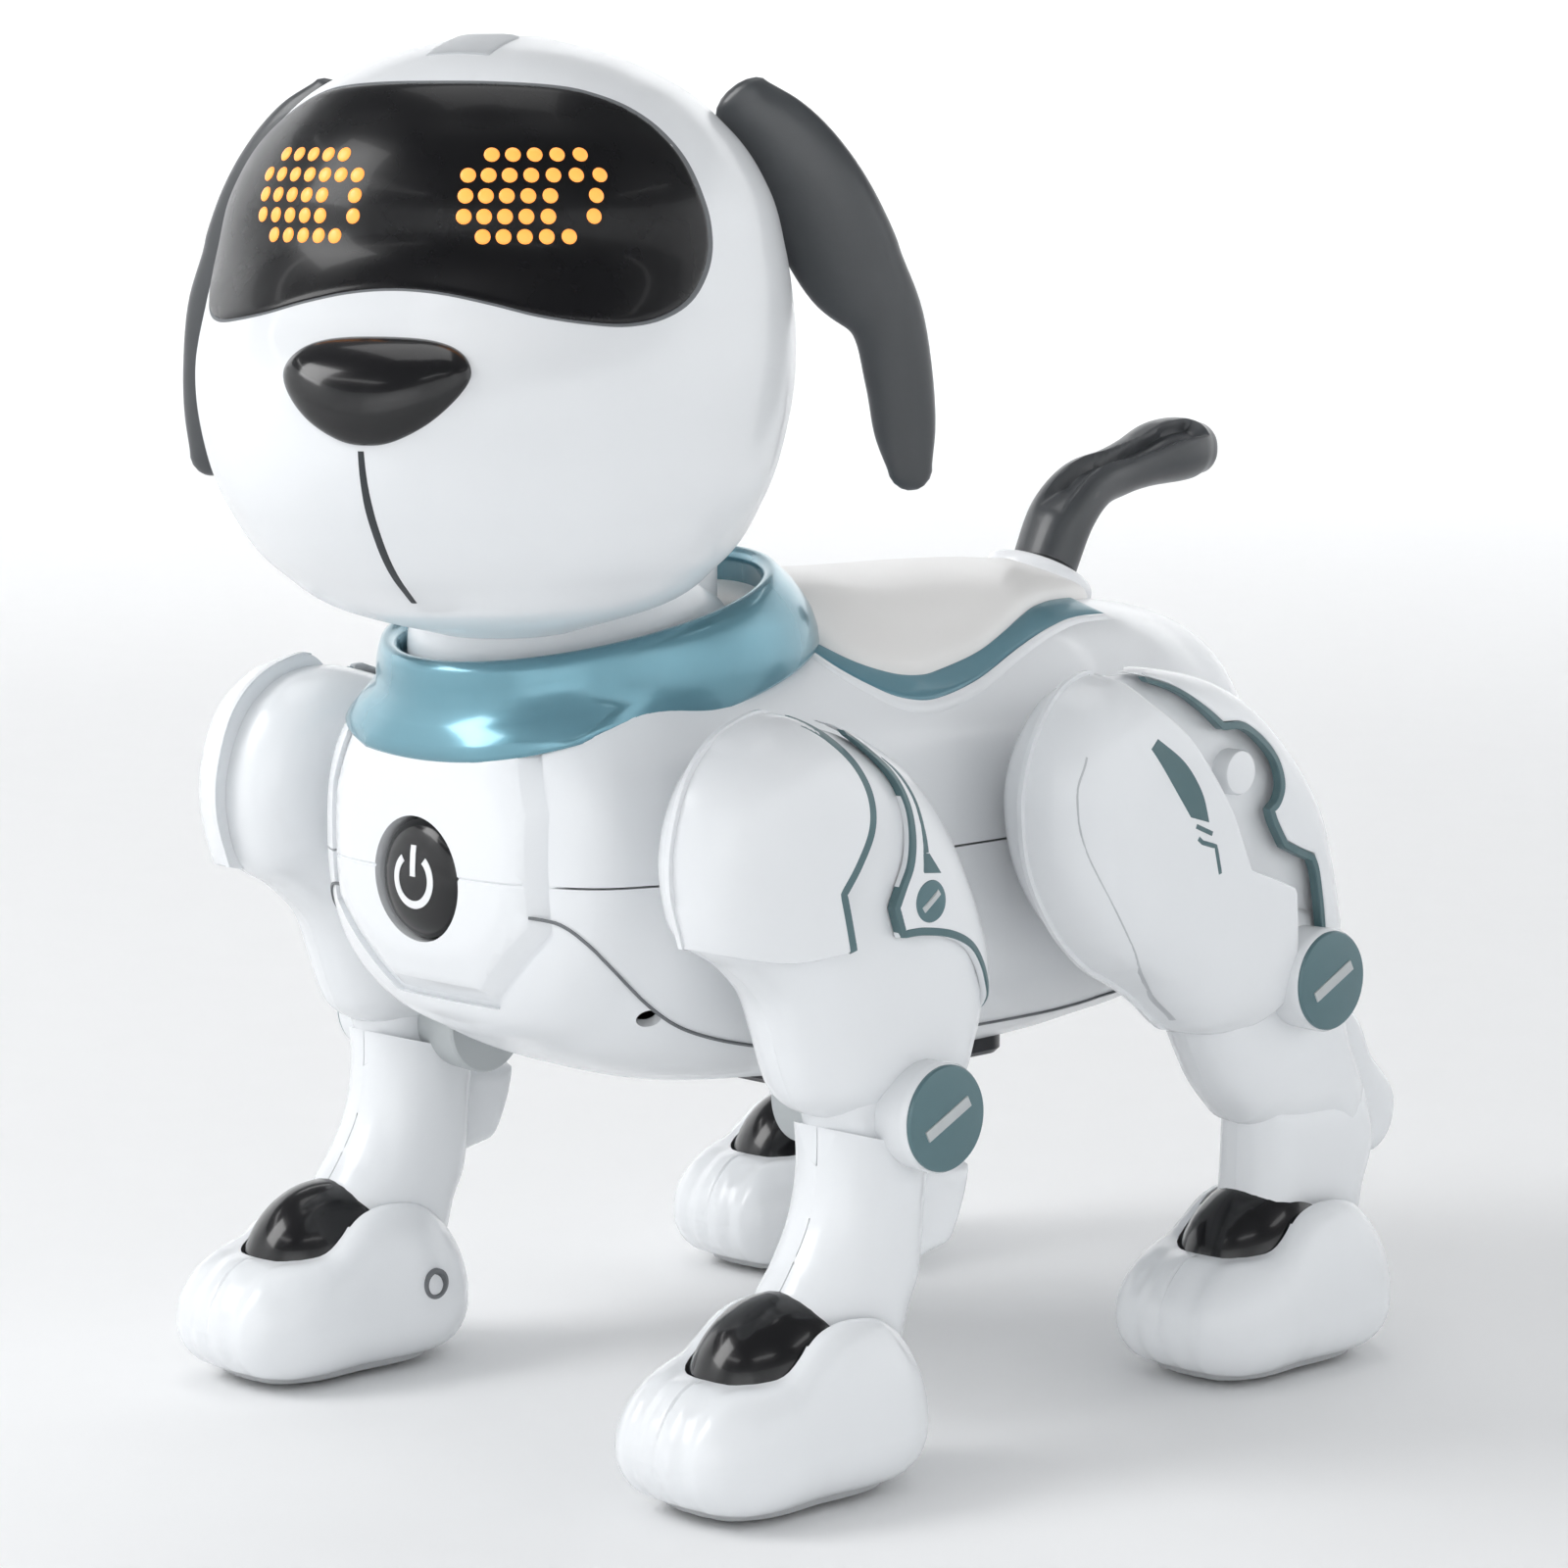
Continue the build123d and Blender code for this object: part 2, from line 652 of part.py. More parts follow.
# ---- ears: centre line (ahead, out, up of the head's centre) from the upper lobe to the tip,
# with half the thickness fore and aft and half the width
EAR_STATIONS = [
    (-20.0, 41.5, 43.8, 2.6, 3.4),
    (-20.5, 46.0, 38.2, 3.6, 6.7),
    (-21.5, 51.6, 31.4, 4.2, 7.9),
    (-22.5, 56.8, 23.2, 4.4, 8.4),
    (-24.0, 61.1, 12.2, 4.4, 9.3),
    (-25.3, 65.6, 3.2, 4.2, 7.6),
    (-26.5, 68.5, -8.5, 4.0, 6.5),
    (-27.5, 69.4, -18.0, 3.6, 5.9),
    (-28.0, 70.3, -25.6, 2.8, 3.9),
]


def ear_form():
    """The right ear: flat, hanging, spread sideways, with its round peg."""
    sections = []
    for i, (ahead, out, high, half_thick, half_width) in enumerate(EAR_STATIONS):
        before = EAR_STATIONS[max(i - 1, 0)]
        after = EAR_STATIONS[min(i + 1, len(EAR_STATIONS) - 1)]
        start = head_point(before[0], -before[1], before[2])
        finish = head_point(after[0], -after[1], after[2])
        centre = head_point(ahead, -out, high)
        with BuildSketch(Plane(origin=centre, x_dir=FORWARD, z_dir=finish - start)) as section:
            Ellipse(half_thick, half_width)
        sections.append(section.sketch)
    with BuildPart() as form:
        loft(sections)
        peg_plane = Plane(
            origin=head_point(EAR_BACK, -(EAR_PEG_OUT + 3), EAR_UP),
            x_dir=FORWARD,
            z_dir=-LEFTWARD,
        )
        add(disc(peg_plane, EAR_PEG_R, -14))
    return form.part


with BuildPart() as right_ear:
    add(ear_form())
right_ear.part.label = "right_ear"
export_step(right_ear.part, "parts/right_ear.step")

HEAD_MIDDLE = Plane(origin=head_point(0, 0, 0), z_dir=LEFTWARD)

with BuildPart() as left_ear:
    add(mirror(right_ear.part, about=HEAD_MIDDLE, mode=Mode.PRIVATE))
left_ear.part.label = "left_ear"
export_step(left_ear.part, "parts/left_ear.step")

# ---- legs -----------------------------------------------------------------
# All leg pieces are drawn for the dog's left side and mirrored for the right.
HIP_IN_X = 53.0             # inner face of the upper leg
LEG_MID_X = 66.0            # joint line between its two shells
LEG_OUT_X = 78.0            # outer face of the upper leg at the knee
DOME_OUT_X = 83.5           # crown of the round drive cover
KNEE_DISC_R = 10.0
KNEE_DISC_X = (78.0, 84.5)
SLOT_X = (61.5, 70.5)       # slot in the upper leg that the lower leg's tongue swings in
TONGUE_X = (62.5, 69.5)
TONGUE_R = 8.0
SHIN_X = (55.5, 77.5)
KNEE_FORWARD = 12           # degrees the lower leg can swing forward from standing
ANKLE_Z = 20.0
ANKLE_R = 19.5
ANKLE_HALF = 16.7
ANKLE_CUT_Z = 16.5
FOOT_HALF = 19.8
FOOT_LENGTH = 68.0
FOOT_TOP = 35.0
SOLE_Z = 1.2
SOCKET_HALF = 17.2
SOCKET_R = 20.1
SOCKET_FLOOR = 12.0
HEEL_R = 33.0
HEEL_TOP = 26.0
STUB_R = 2.5
ROLLER_R = 4.5
ROLLER_HALF = 6.0
ROLLER_AXLE_R = 1.5
ROLLER_AXLE_HALF = 9.0

FRONT_KNEE = (-40.3, 71.1)
REAR_KNEE = (73.6, 82.8)

# drive axis, drive cover centre and radius, knee, knee radius, foot centre along the dog
FRONT_LEG = {
    "drive": SHOULDER,
    "cover": (-78.0, 126.0),
    "cover_r": 22.0,
    "knee": FRONT_KNEE,
    "knee_r": 20.0,
    "foot_y": -STANCE,
}
REAR_LEG = {
    "drive": HIP,
    "cover": (23.5, 117.0),
    "cover_r": 30.5,
    "knee": REAR_KNEE,
    "knee_r": 19.0,
    "foot_y": STANCE,
}
FRONT_SHIN = [
    (-66, 68), (-70.5, 68), (-73, 53), (-74.5, 38), (-60, 29),
    (-37, 33), (-27, 42), (-23, 54), (-19, 64),
]
REAR_SHIN = [
    (43, 76), (47, 63), (58, 51), (63, 47), (64, 37), (84, 28),
    (103, 32), (108, 42), (110, 53), (103, 66), (92, 84),
]


def side_profile(x):
    """Plane across the dog at this distance from the middle: drawn in (y, z)."""
    return Plane.YZ.offset(x)


def limb(leg, inset, start_x, end_x):
    """Upper leg's outline, a round cover joined to a round knee, between two faces."""
    with BuildPart() as form:
        with BuildSketch(side_profile(start_x)):
            with Locations(leg["cover"]):
                Circle(leg["cover_r"] - inset)
            with Locations(leg["knee"]):
                Circle(leg["knee_r"] - inset)
            make_hull()
        extrude(amount=end_x - start_x)
    return form.part


def tongue_slot(leg):
    """Room for the lower leg's tongue to swing fore and aft under the knee."""
    knee_y, knee_z = leg["knee"]
    reach = leg["knee_r"] + 6
    with BuildPart() as room:
        with BuildSketch(side_profile(SLOT_X[0])):
            with BuildLine():
                Polyline(
                    (knee_y - 8, knee_z),
                    (knee_y + 8, knee_z),
                    (knee_y + reach * 0.8, knee_z - reach),
                    (knee_y - reach * 0.8, knee_z - reach),
                    close=True,
                )
            make_face()
            with Locations(leg["knee"]):
                Circle(TONGUE_R + 1)
        extrude(amount=SLOT_X[1] - SLOT_X[0])
    return room.part


def upper_outer(leg):
    """Outer shell with the domed drive cover."""
    with BuildPart() as shell:
        add(limb(leg, 0, LEG_MID_X, LEG_OUT_X))
        fillet(shell.faces().sort_by(Axis.X)[-1].edges(), 4)
        add(limb(leg, WALL, LEG_MID_X, LEG_OUT_X - WALL), mode=Mode.SUBTRACT)
        with BuildPart(mode=Mode.PRIVATE) as dome:
            add(disc(side_profile(LEG_OUT_X - WALL), leg["cover_r"], DOME_OUT_X - LEG_OUT_X + WALL, leg["cover"]))
            fillet(dome.faces().sort_by(Axis.X)[-1].edges(), 6)
        add(dome.part)
        add(disc(side_profile(LEG_OUT_X - 8), 6, 8, leg["knee"]))
        add(tongue_slot(leg), mode=Mode.SUBTRACT)
        add(disc(side_profile(LEG_MID_X), PIN_R, 20, leg["knee"]), mode=Mode.SUBTRACT)
    return shell.part


def upper_inner(leg):
    """Inner shell with the hub and shaft that enter the body."""
    drive_boss = side_profile(GEARBOX_OUT_X - BORE_DEPTH + 1)
    with BuildPart() as shell:
        add(limb(leg, 0, HIP_IN_X, LEG_MID_X))
        add(limb(leg, WALL, HIP_IN_X + WALL, LEG_MID_X), mode=Mode.SUBTRACT)
        add(tongue_slot(leg), mode=Mode.SUBTRACT)
        add(disc(side_profile(HIP_IN_X), 6, 8, leg["knee"]))
        add(disc(side_profile(HIP_IN_X), PIN_R, 10, leg["knee"]), mode=Mode.SUBTRACT)
        add(disc(drive_boss, SHAFT_R, HIP_IN_X - GEARBOX_OUT_X + BORE_DEPTH, leg["drive"]))
        add(disc(side_profile(GEARBOX_OUT_X + 2), DRIVE_HOLE_R - 1.5, HIP_IN_X - GEARBOX_OUT_X - 1, leg["drive"]))
    return shell.part


def knee_cap(leg):
    """Slotted disc outside the knee with the pin that the lower leg turns on."""
    with BuildPart() as cap:
        add(disc(side_profile(KNEE_DISC_X[0]), KNEE_DISC_R, KNEE_DISC_X[1] - KNEE_DISC_X[0], leg["knee"]))
        chamfer(cap.faces().sort_by(Axis.X)[-1].edges(), 0.8)
        with BuildSketch(side_profile(KNEE_DISC_X[1])):
            with Locations(leg["knee"]):
                Rectangle(14, 3, rotation=20)
        extrude(amount=-1.2, mode=Mode.SUBTRACT)
        add(disc(side_profile(KNEE_DISC_X[0]), PIN_R, HIP_IN_X - KNEE_DISC_X[0], leg["knee"]))
    return cap.part


def shin(leg, outline):
    """Lower leg cupped under the knee, with its tongue, cut clear of the ankle shoulder."""
    knee_y, knee_z = leg["knee"]
    knee_axis = Axis((0, knee_y, knee_z), (1, 0, 0))
    ankle = (leg["foot_y"] + 2, ANKLE_Z)
    swept_limb = limb(leg, -GAP, SHIN_X[0] - 1, SHIN_X[1] + 1)
    with BuildPart() as form:
        with BuildSketch(side_profile(SHIN_X[0])):
            with BuildLine():
                Polyline(*outline, close=True)
            make_face()
            with Locations(ankle):
                Circle(ANKLE_R, mode=Mode.SUBTRACT)
        extrude(amount=SHIN_X[1] - SHIN_X[0])
        for bend in range(0, KNEE_FORWARD + 1, 4):
            add(swept_limb.rotate(knee_axis, bend), mode=Mode.SUBTRACT)
        with BuildSketch(side_profile(TONGUE_X[0])):
            with Locations(leg["knee"]):
                Circle(TONGUE_R)
            with Locations((knee_y, knee_z - leg["knee_r"] / 2 - 3)):
                Rectangle(10, leg["knee_r"] + 6)
        extrude(amount=TONGUE_X[1] - TONGUE_X[0])
        add(disc(side_profile(TONGUE_X[0] - 1), PIN_R + RUNNING, 10, leg["knee"]), mode=Mode.SUBTRACT)
    return form.part


def ankle_cap(leg):
    """Round shoulder of the ankle, flattened underneath, with blind holes for the foot's stubs."""
    ankle = (leg["foot_y"] + 2, ANKLE_Z)
    with BuildPart() as barrel:
        add(disc(side_profile(TRACK - ANKLE_HALF), ANKLE_R, 2 * ANKLE_HALF, ankle))
        split(bisect_by=Plane.XY.offset(ANKLE_CUT_Z), keep=Keep.TOP)
        for outward in (1, -1):
            face = side_profile(TRACK + outward * ANKLE_HALF)
            add(disc(face, STUB_R + RUNNING, -outward * 4, ankle), mode=Mode.SUBTRACT)
    return barrel.part


def foot(leg):
    """Paw with a socket for the ankle, a heel rounded about the ankle and a roller pocket."""
    foot_y = leg["foot_y"]
    ankle = (foot_y + 2, ANKLE_Z)
    toe_y = foot_y - FOOT_LENGTH / 2
    heel_y = foot_y + FOOT_LENGTH / 2
    with BuildPart() as paw:
        with BuildSketch(side_profile(TRACK - FOOT_HALF)):
            with BuildLine():
                Polyline((foot_y - 27, SOLE_Z), (heel_y - 4, SOLE_Z), (heel_y, 8), (heel_y, 18))
                ThreePointArc((heel_y, 18), (foot_y + 22, FOOT_TOP - 2), (foot_y + 6, FOOT_TOP))
                Spline(
                    (foot_y + 6, FOOT_TOP),
                    (foot_y - 12, 30),
                    (foot_y - 27, 24),
                    (toe_y, 12),
                    (foot_y - 27, SOLE_Z),
                )
            make_face()
        extrude(amount=2 * FOOT_HALF)
        with BuildSketch(Plane.XY, mode=Mode.PRIVATE) as plan:
            with Locations((TRACK, foot_y)):
                RectangleRounded(2 * FOOT_HALF, FOOT_LENGTH, 13)
        extrude(plan.sketch, amount=60, mode=Mode.INTERSECT)
        # socket for the ankle, open above
        with BuildSketch(side_profile(TRACK - SOCKET_HALF)):
            with Locations(ankle):
                Circle(SOCKET_R)
            with Locations((foot_y + 2, ANKLE_Z + 20)):
                Rectangle(2 * SOCKET_R, 40)
            with Locations((foot_y + 30, HEEL_TOP + 20)):
                Rectangle(60, 40)
            with Locations((foot_y + 2, SOCKET_FLOOR - 15)):
                Rectangle(80, 30, mode=Mode.SUBTRACT)
        extrude(amount=2 * SOCKET_HALF, mode=Mode.SUBTRACT)
        for outward in (1, -1):
            add(disc(side_profile(TRACK + outward * SOCKET_HALF), STUB_R, -outward * 3.5, ankle))
        # roller pocket under the middle of the paw
        with BuildSketch(Plane.XY):
            with Locations((TRACK, foot_y)):
                Rectangle(2 * ROLLER_HALF + 1.2, 2 * ROLLER_R + 2)
        extrude(amount=2 * ROLLER_R + 0.8, mode=Mode.SUBTRACT)
        axle_hole = side_profile(TRACK - ROLLER_AXLE_HALF - 0.4)
        add(
            disc(axle_hole, ROLLER_AXLE_R + RUNNING, 2 * ROLLER_AXLE_HALF + 0.8, (foot_y, ROLLER_R)),
            mode=Mode.SUBTRACT,
        )
    return paw.part


def roller(leg):
    """Ratchet roller and its axle."""
    centre = (leg["foot_y"], ROLLER_R)
    with BuildPart() as wheel:
        add(disc(side_profile(TRACK - ROLLER_HALF), ROLLER_R, 2 * ROLLER_HALF, centre))
        add(disc(side_profile(TRACK - ROLLER_AXLE_HALF), ROLLER_AXLE_R, 2 * ROLLER_AXLE_HALF, centre))
    return wheel.part


for place, leg, outline in (("front", FRONT_LEG, FRONT_SHIN), ("rear", REAR_LEG, REAR_SHIN)):
    pieces = {
        "upper_outer": upper_outer(leg),
        "upper_inner": upper_inner(leg),
        "knee_cap": knee_cap(leg),
        "shin": shin(leg, outline),
        "ankle_cap": ankle_cap(leg),
        "foot": foot(leg),
        "roller": roller(leg),
    }
    for piece_name, piece in pieces.items():
        with BuildPart() as left_piece:
            add(piece)
        left_piece.part.label = f"left_{place}_{piece_name}"
        export_step(left_piece.part, f"parts/left_{place}_{piece_name}.step")
        with BuildPart() as right_piece:
            mirror(piece, about=Plane.YZ)
        right_piece.part.label = f"right_{place}_{piece_name}"
        export_step(right_piece.part, f"parts/right_{place}_{piece_name}.step")
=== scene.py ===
"""Looks of the robot dog toy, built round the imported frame. Lengths in the tables are millimetres."""
import json
import math
from collections import namedtuple
from contextlib import contextmanager

import bmesh
import bpy
import numpy as np
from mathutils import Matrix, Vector
from mathutils.bvhtree import BVHTree
from mathutils.geometry import delaunay_2d_cdt


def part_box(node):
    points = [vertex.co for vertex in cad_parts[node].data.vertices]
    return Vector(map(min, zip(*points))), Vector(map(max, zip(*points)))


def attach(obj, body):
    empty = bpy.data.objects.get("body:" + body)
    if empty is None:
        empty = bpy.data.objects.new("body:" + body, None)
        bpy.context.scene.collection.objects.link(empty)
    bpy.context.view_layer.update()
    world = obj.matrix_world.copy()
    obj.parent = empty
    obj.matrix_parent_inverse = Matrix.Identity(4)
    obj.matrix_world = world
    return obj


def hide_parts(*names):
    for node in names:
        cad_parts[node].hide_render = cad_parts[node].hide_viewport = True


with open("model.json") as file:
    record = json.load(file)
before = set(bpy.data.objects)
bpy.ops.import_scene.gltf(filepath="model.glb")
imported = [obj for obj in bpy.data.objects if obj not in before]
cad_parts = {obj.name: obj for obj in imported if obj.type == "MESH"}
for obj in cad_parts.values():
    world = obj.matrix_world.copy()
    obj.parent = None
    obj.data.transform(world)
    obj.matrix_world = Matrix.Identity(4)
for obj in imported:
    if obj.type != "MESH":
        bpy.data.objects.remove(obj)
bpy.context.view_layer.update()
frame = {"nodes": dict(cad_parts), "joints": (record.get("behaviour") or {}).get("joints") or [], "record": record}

MM = 0.001
JOINTS = {joint["name"]: np.array(joint.get("pos_m") or (0, 0, 0)) / MM for joint in frame["joints"]}


def low(node):
    return np.array(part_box(node)[0]) / MM


def high(node):
    return np.array(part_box(node)[1]) / MM


# ---- materials -----------------------------------------------------------------
Finish = namedtuple("Finish", "slot look")
WEAR_FROM, WEAR_TO = 0.53, 0.62


def material(name, colour, rough=0.3, coat=0.0, metal=0.0, spread=0.03, grain=0.05, grain_size=0.35,
             wear=0.06, glow=0.0, patch=22.0, specular=0.5, sheen=0.15):
    """Moulded plastic, paint or metal: mottled colour and gloss, fine bump, lighter worn edges."""
    made = bpy.data.materials.new(name)
    made.use_nodes = True
    tree = made.node_tree
    join = tree.links.new

    def node(kind, **values):
        new = tree.nodes.new("ShaderNode" + kind)
        for key, value in values.items():
            new.inputs[key.replace("_", " ")].default_value = value
        return new

    coord = node("TexCoord")

    def noise(size, detail):
        new = node("TexNoise", Scale=1000 / size, Detail=detail)
        join(coord.outputs["Object"], new.inputs["Vector"])
        return new.outputs["Fac"]

    shader = tree.nodes["Principled BSDF"]
    shader.inputs["Metallic"].default_value = metal
    shader.inputs["Coat Weight"].default_value = coat
    shader.inputs["Coat Roughness"].default_value = 0.06
    shader.inputs["Specular IOR Level"].default_value = specular

    ramp = node("ValToRGB")
    for end, place, share in ((0, 0.3, 1 - spread), (1, 0.7, 1 + spread)):
        ramp.color_ramp.elements[end].position = place
        ramp.color_ramp.elements[end].color = [min(1, c * share) for c in colour] + [1]
    join(noise(patch, 5), ramp.inputs["Fac"])
    edge = node("MapRange", From_Min=WEAR_FROM, From_Max=WEAR_TO, To_Max=wear)
    join(node("NewGeometry").outputs["Pointiness"], edge.inputs["Value"])
    worn = node("Mix")
    worn.data_type = "RGBA"
    worn.inputs["B"].default_value = [min(1, 0.5 * c + 0.45) for c in colour] + [1]
    join(edge.outputs["Result"], worn.inputs["Factor"])
    join(ramp.outputs["Color"], worn.inputs["A"])
    join(worn.outputs["Result"], shader.inputs["Base Color"])

    gloss = node("MapRange", From_Min=0.25, From_Max=0.75, To_Min=rough * (1 - sheen),
                 To_Max=min(1, rough * (1 + sheen)))
    join(noise(patch * 0.45, 7), gloss.inputs["Value"])
    join(gloss.outputs["Result"], shader.inputs["Roughness"])
    bump = node("Bump", Strength=grain, Distance=0.0002)
    join(noise(grain_size, 3), bump.inputs["Height"])
    join(bump.outputs["Normal"], shader.inputs["Normal"])
    if glow:
        shader.inputs["Emission Color"].default_value = list(colour) + [1]
        shader.inputs["Emission Strength"].default_value = glow
    return made


def finish(slot, name, colour, **options):
    return Finish(slot, material(name, colour, **options))


CALM = {"spread": 0.003, "patch": 60.0, "wear": 0.03, "sheen": 0.008, "grain_size": 1.2}
WHITE = finish("white_shell", "white_plastic", (0.80, 0.82, 0.84), rough=0.27, coat=0.25, grain=0.008,
               specular=0.45, **CALM)
WARM = finish("cover_white", "warm_white_plastic", (0.80, 0.79, 0.775), rough=0.34, coat=0.1, grain=0.012,
              **CALM)
TEAL = finish("collar_teal", "collar_paint", (0.14, 0.31, 0.38), rough=0.22, coat=0.5, metal=0.55, grain=0.04)
BAND = finish("trim_teal", "band_paint", (0.10, 0.235, 0.29), rough=0.32, coat=0.2, metal=0.15)
STRIPE = finish("stripe_blue", "stripe_paint", (0.065, 0.135, 0.15), rough=0.42, coat=0.1)
DISC = finish("stripe_blue", "disc_paint", (0.085, 0.165, 0.185), rough=0.36, coat=0.2, metal=0.1)
LIGHT = finish("grey_trim", "pale_inlay", (0.47, 0.50, 0.51), rough=0.38, coat=0.1)
DARK = finish("dark_grey", "dark_grey_satin", (0.052, 0.056, 0.061), rough=0.34, coat=0.15, grain=0.08,
              wear=0.04)
# painted shade: a flat mid grey that stands for the shadow in grooves, gaps and screw wells; the belly seams below
# use it too
GROOVE = finish("dark_grey", "groove_shadow", (0.16, 0.17, 0.18), rough=0.7, grain=0.1, wear=0.0)
SEAM = GROOVE._replace(slot="grey_trim")
GROOVE_DARK = finish("dark_grey", "engraved_line", (0.030, 0.035, 0.040), rough=0.6, wear=0.0)
BLACK = finish("gloss_black", "gloss_black", (0.006, 0.006, 0.007), rough=0.2, coat=0.3, grain=0.01,
               wear=0.0, specular=0.35)
VISOR = finish("gloss_black", "visor_black", (0.004, 0.004, 0.005), rough=0.28, coat=0.1, grain=0.01,
               wear=0.0, specular=0.25)
GREY = finish("grey_trim", "grey_trim", (0.50, 0.52, 0.54), rough=0.38, coat=0.1)
SOLE = finish("grey_trim", "sole_grey", (0.42, 0.43, 0.44), rough=0.6, grain=0.15)
MARK = finish("grey_trim", "power_mark", (0.80, 0.81, 0.82), rough=0.3)
STEEL = finish("steel_screw", "screw_steel", (0.38, 0.38, 0.39), rough=0.35, metal=0.9, grain=0.2)
BOARD = finish("board_green", "board_green", (0.02, 0.12, 0.05), rough=0.4)
AMBER = finish("lamp_amber", "lamp_amber", (1.0, 0.36, 0.07), rough=0.35, glow=0.75, spread=0.05, wear=0.0)
SATIN = finish("gearbox_grey", "gear_case_grey", (0.30, 0.31, 0.32), rough=0.5)
CELL = finish("cell_blue", "cell_blue", (0.03, 0.10, 0.30), rough=0.4)
RUBBER = finish("roller_rubber", "roller_rubber", (0.035, 0.035, 0.037), rough=0.75, grain=0.3)
CAD_FINISHES = (WHITE, WARM, TEAL, BAND, STRIPE, DARK, BLACK, GREY, STEEL, BOARD, AMBER, SATIN, CELL, RUBBER)


# ---- plane curves and meshes ---------------------------------------------------
def curve(points, step=1.2, closed=True):
    """A smooth curve through plane points; a point with a third value is a corner."""
    p = np.array([q[:2] for q in points], float)
    corner = [len(q) > 2 for q in points]
    n = len(p)
    if not closed:
        corner[0] = corner[-1] = True
    out = []
    for i in range(n if closed else n - 1):
        j = (i + 1) % n
        a, b = p[i], p[j]
        before, after = p[i - 1], p[(i + 2) % n]
        ta = b - a if corner[i] else (b - before) / 2
        tb = b - a if corner[j] else (after - a) / 2
        longest = 1.5 * np.hypot(*(b - a))
        ta = ta * min(1, longest / max(1e-9, np.hypot(*ta)))
        tb = tb * min(1, longest / max(1e-9, np.hypot(*tb)))
        count = max(2, int(math.ceil(np.hypot(*(b - a)) / step)))
        s = (np.arange(count) / count)[:, None]
        out.append((2 * s**3 - 3 * s**2 + 1) * a + (s**3 - 2 * s**2 + s) * ta
                   + (3 * s**2 - 2 * s**3) * b + (s**3 - s**2) * tb)
    if not closed:
        out.append(p[-1:])
    return np.concatenate(out)


def winding(loop):
    x, y = loop[:, 0], loop[:, 1]
    return np.sum(x * np.roll(y, -1) - y * np.roll(x, -1))


def distance(points, line, closed=True):
    """Distance from each point to a polyline."""
    a = line if closed else line[:-1]
    b = np.roll(line, -1, axis=0) if closed else line[1:]
    best = np.full(len(points), 1e9)
    for start, end in zip(a, b):
        run = end - start
        t = np.clip(((points - start) @ run) / max(1e-12, run @ run), 0, 1)
        gap = points - start - t[:, None] * run
        best = np.minimum(best, np.einsum("ij,ij->i", gap, gap))
    return np.sqrt(best)


def inside(points, loop):
    x, y = points[:, 0], points[:, 1]
    hit = np.zeros(len(points), bool)
    for a, b in zip(loop, np.roll(loop, -1, axis=0)):
        crosses = (a[1] > y) != (b[1] > y)
        if abs(b[1] - a[1]) > 1e-12:
            hit ^= crosses & (x < (b[0] - a[0]) * (y - a[1]) / (b[1] - a[1]) + a[0])
    return hit


def flat_mesh(loop, spacing, rim=(), lines=()):
    """Points and triangles filling a loop, closer together near its rim and along lines."""
    if winding(loop) < 0:
        loop = loop[::-1]
    run = np.roll(loop, -1, axis=0) - np.roll(loop, 1, axis=0)
    inward = np.stack([-run[:, 1], run[:, 0]], 1) / np.maximum(1e-9, np.hypot(run[:, 0], run[:, 1]))[:, None]
    extra = []
    for gap in rim:
        ring = loop + inward * gap
        keep = inside(ring, loop)
        ring = ring[keep]
        if len(ring):
            extra.append(ring[distance(ring, loop) > gap * 0.9])
    for line, width in lines:
        step = np.gradient(line, axis=0)
        across = np.stack([-step[:, 1], step[:, 0]], 1) / np.hypot(step[:, 0], step[:, 1])[:, None]
        for part in (-1, -0.5, 0, 0.5, 1):
            row = line + across * width * part
            row = row[inside(row, loop)]
            if len(row):
                extra.append(row[distance(row, loop) > 0.25])
    lo, hi = loop.min(0), loop.max(0)
    xs = np.arange(lo[0], hi[0], spacing)
    ys = np.arange(lo[1], hi[1], spacing * 0.866)
    grid = np.array([(x + (spacing / 2 if k % 2 else 0), y) for k, y in enumerate(ys) for x in xs])
    grid = grid[inside(grid, loop)]
    if len(grid):
        clear = (rim[-1] if rim else 0) + spacing * 0.55
        grid = grid[distance(grid, loop) > clear]
    if len(grid):
        for line, width in lines:
            grid = grid[distance(grid, line, closed=False) > width + 0.4]
        extra.append(grid)
    points = np.concatenate([loop] + extra)
    verts, _, faces, origin, _, _ = delaunay_2d_cdt(
        [Vector(p) for p in points], [], [list(range(len(loop)))], 1, 1e-5)
    where = {}
    for k, source in enumerate(origin):
        for i in source:
            where[i] = k
    border = [where[i] for i in range(len(loop))]
    return np.array([tuple(v) for v in verts]), [list(f) for f in faces], border


def circle(turns):
    angle = np.linspace(0, 2 * math.pi, turns, endpoint=False)
    return np.cos(angle), np.sin(angle)


def squarish(value, power):
    return np.sign(value) * abs(value) ** power


def unit(v):
    v = np.asarray(v, float)
    return v / np.linalg.norm(v)


def ring_faces(rows, count, caps=True, start=0):
    """Faces between rows of count points each, and over the first and the last row."""
    faces = []
    for i in range(rows - 1):
        for k in range(count):
            a, b = start + i * count + k, start + i * count + (k + 1) % count
            faces.append([a, b, b + count, a + count])
    if caps:
        last = start + (rows - 1) * count
        faces.append(list(range(start, start + count))[::-1])
        faces.append(list(range(last, last + count)))
    return faces


def mesh_of(name, verts, faces):
    mesh = bpy.data.meshes.new(name)
    mesh.from_pydata([tuple(v) for v in np.asarray(verts) * MM], [], faces)
    return mesh


@contextmanager
def editing(mesh):
    """The mesh as a bmesh, which is written back at the end."""
    work = bmesh.new()
    work.from_mesh(mesh)
    yield work
    work.to_mesh(mesh)
    work.free()


def linked(name, data):
    made = bpy.data.objects.new(name, data)
    bpy.context.scene.collection.objects.link(made)
    return made


def smooth(mesh, crease):
    mesh.shade_smooth()
    mesh.set_sharp_from_angle(angle=math.radians(crease))


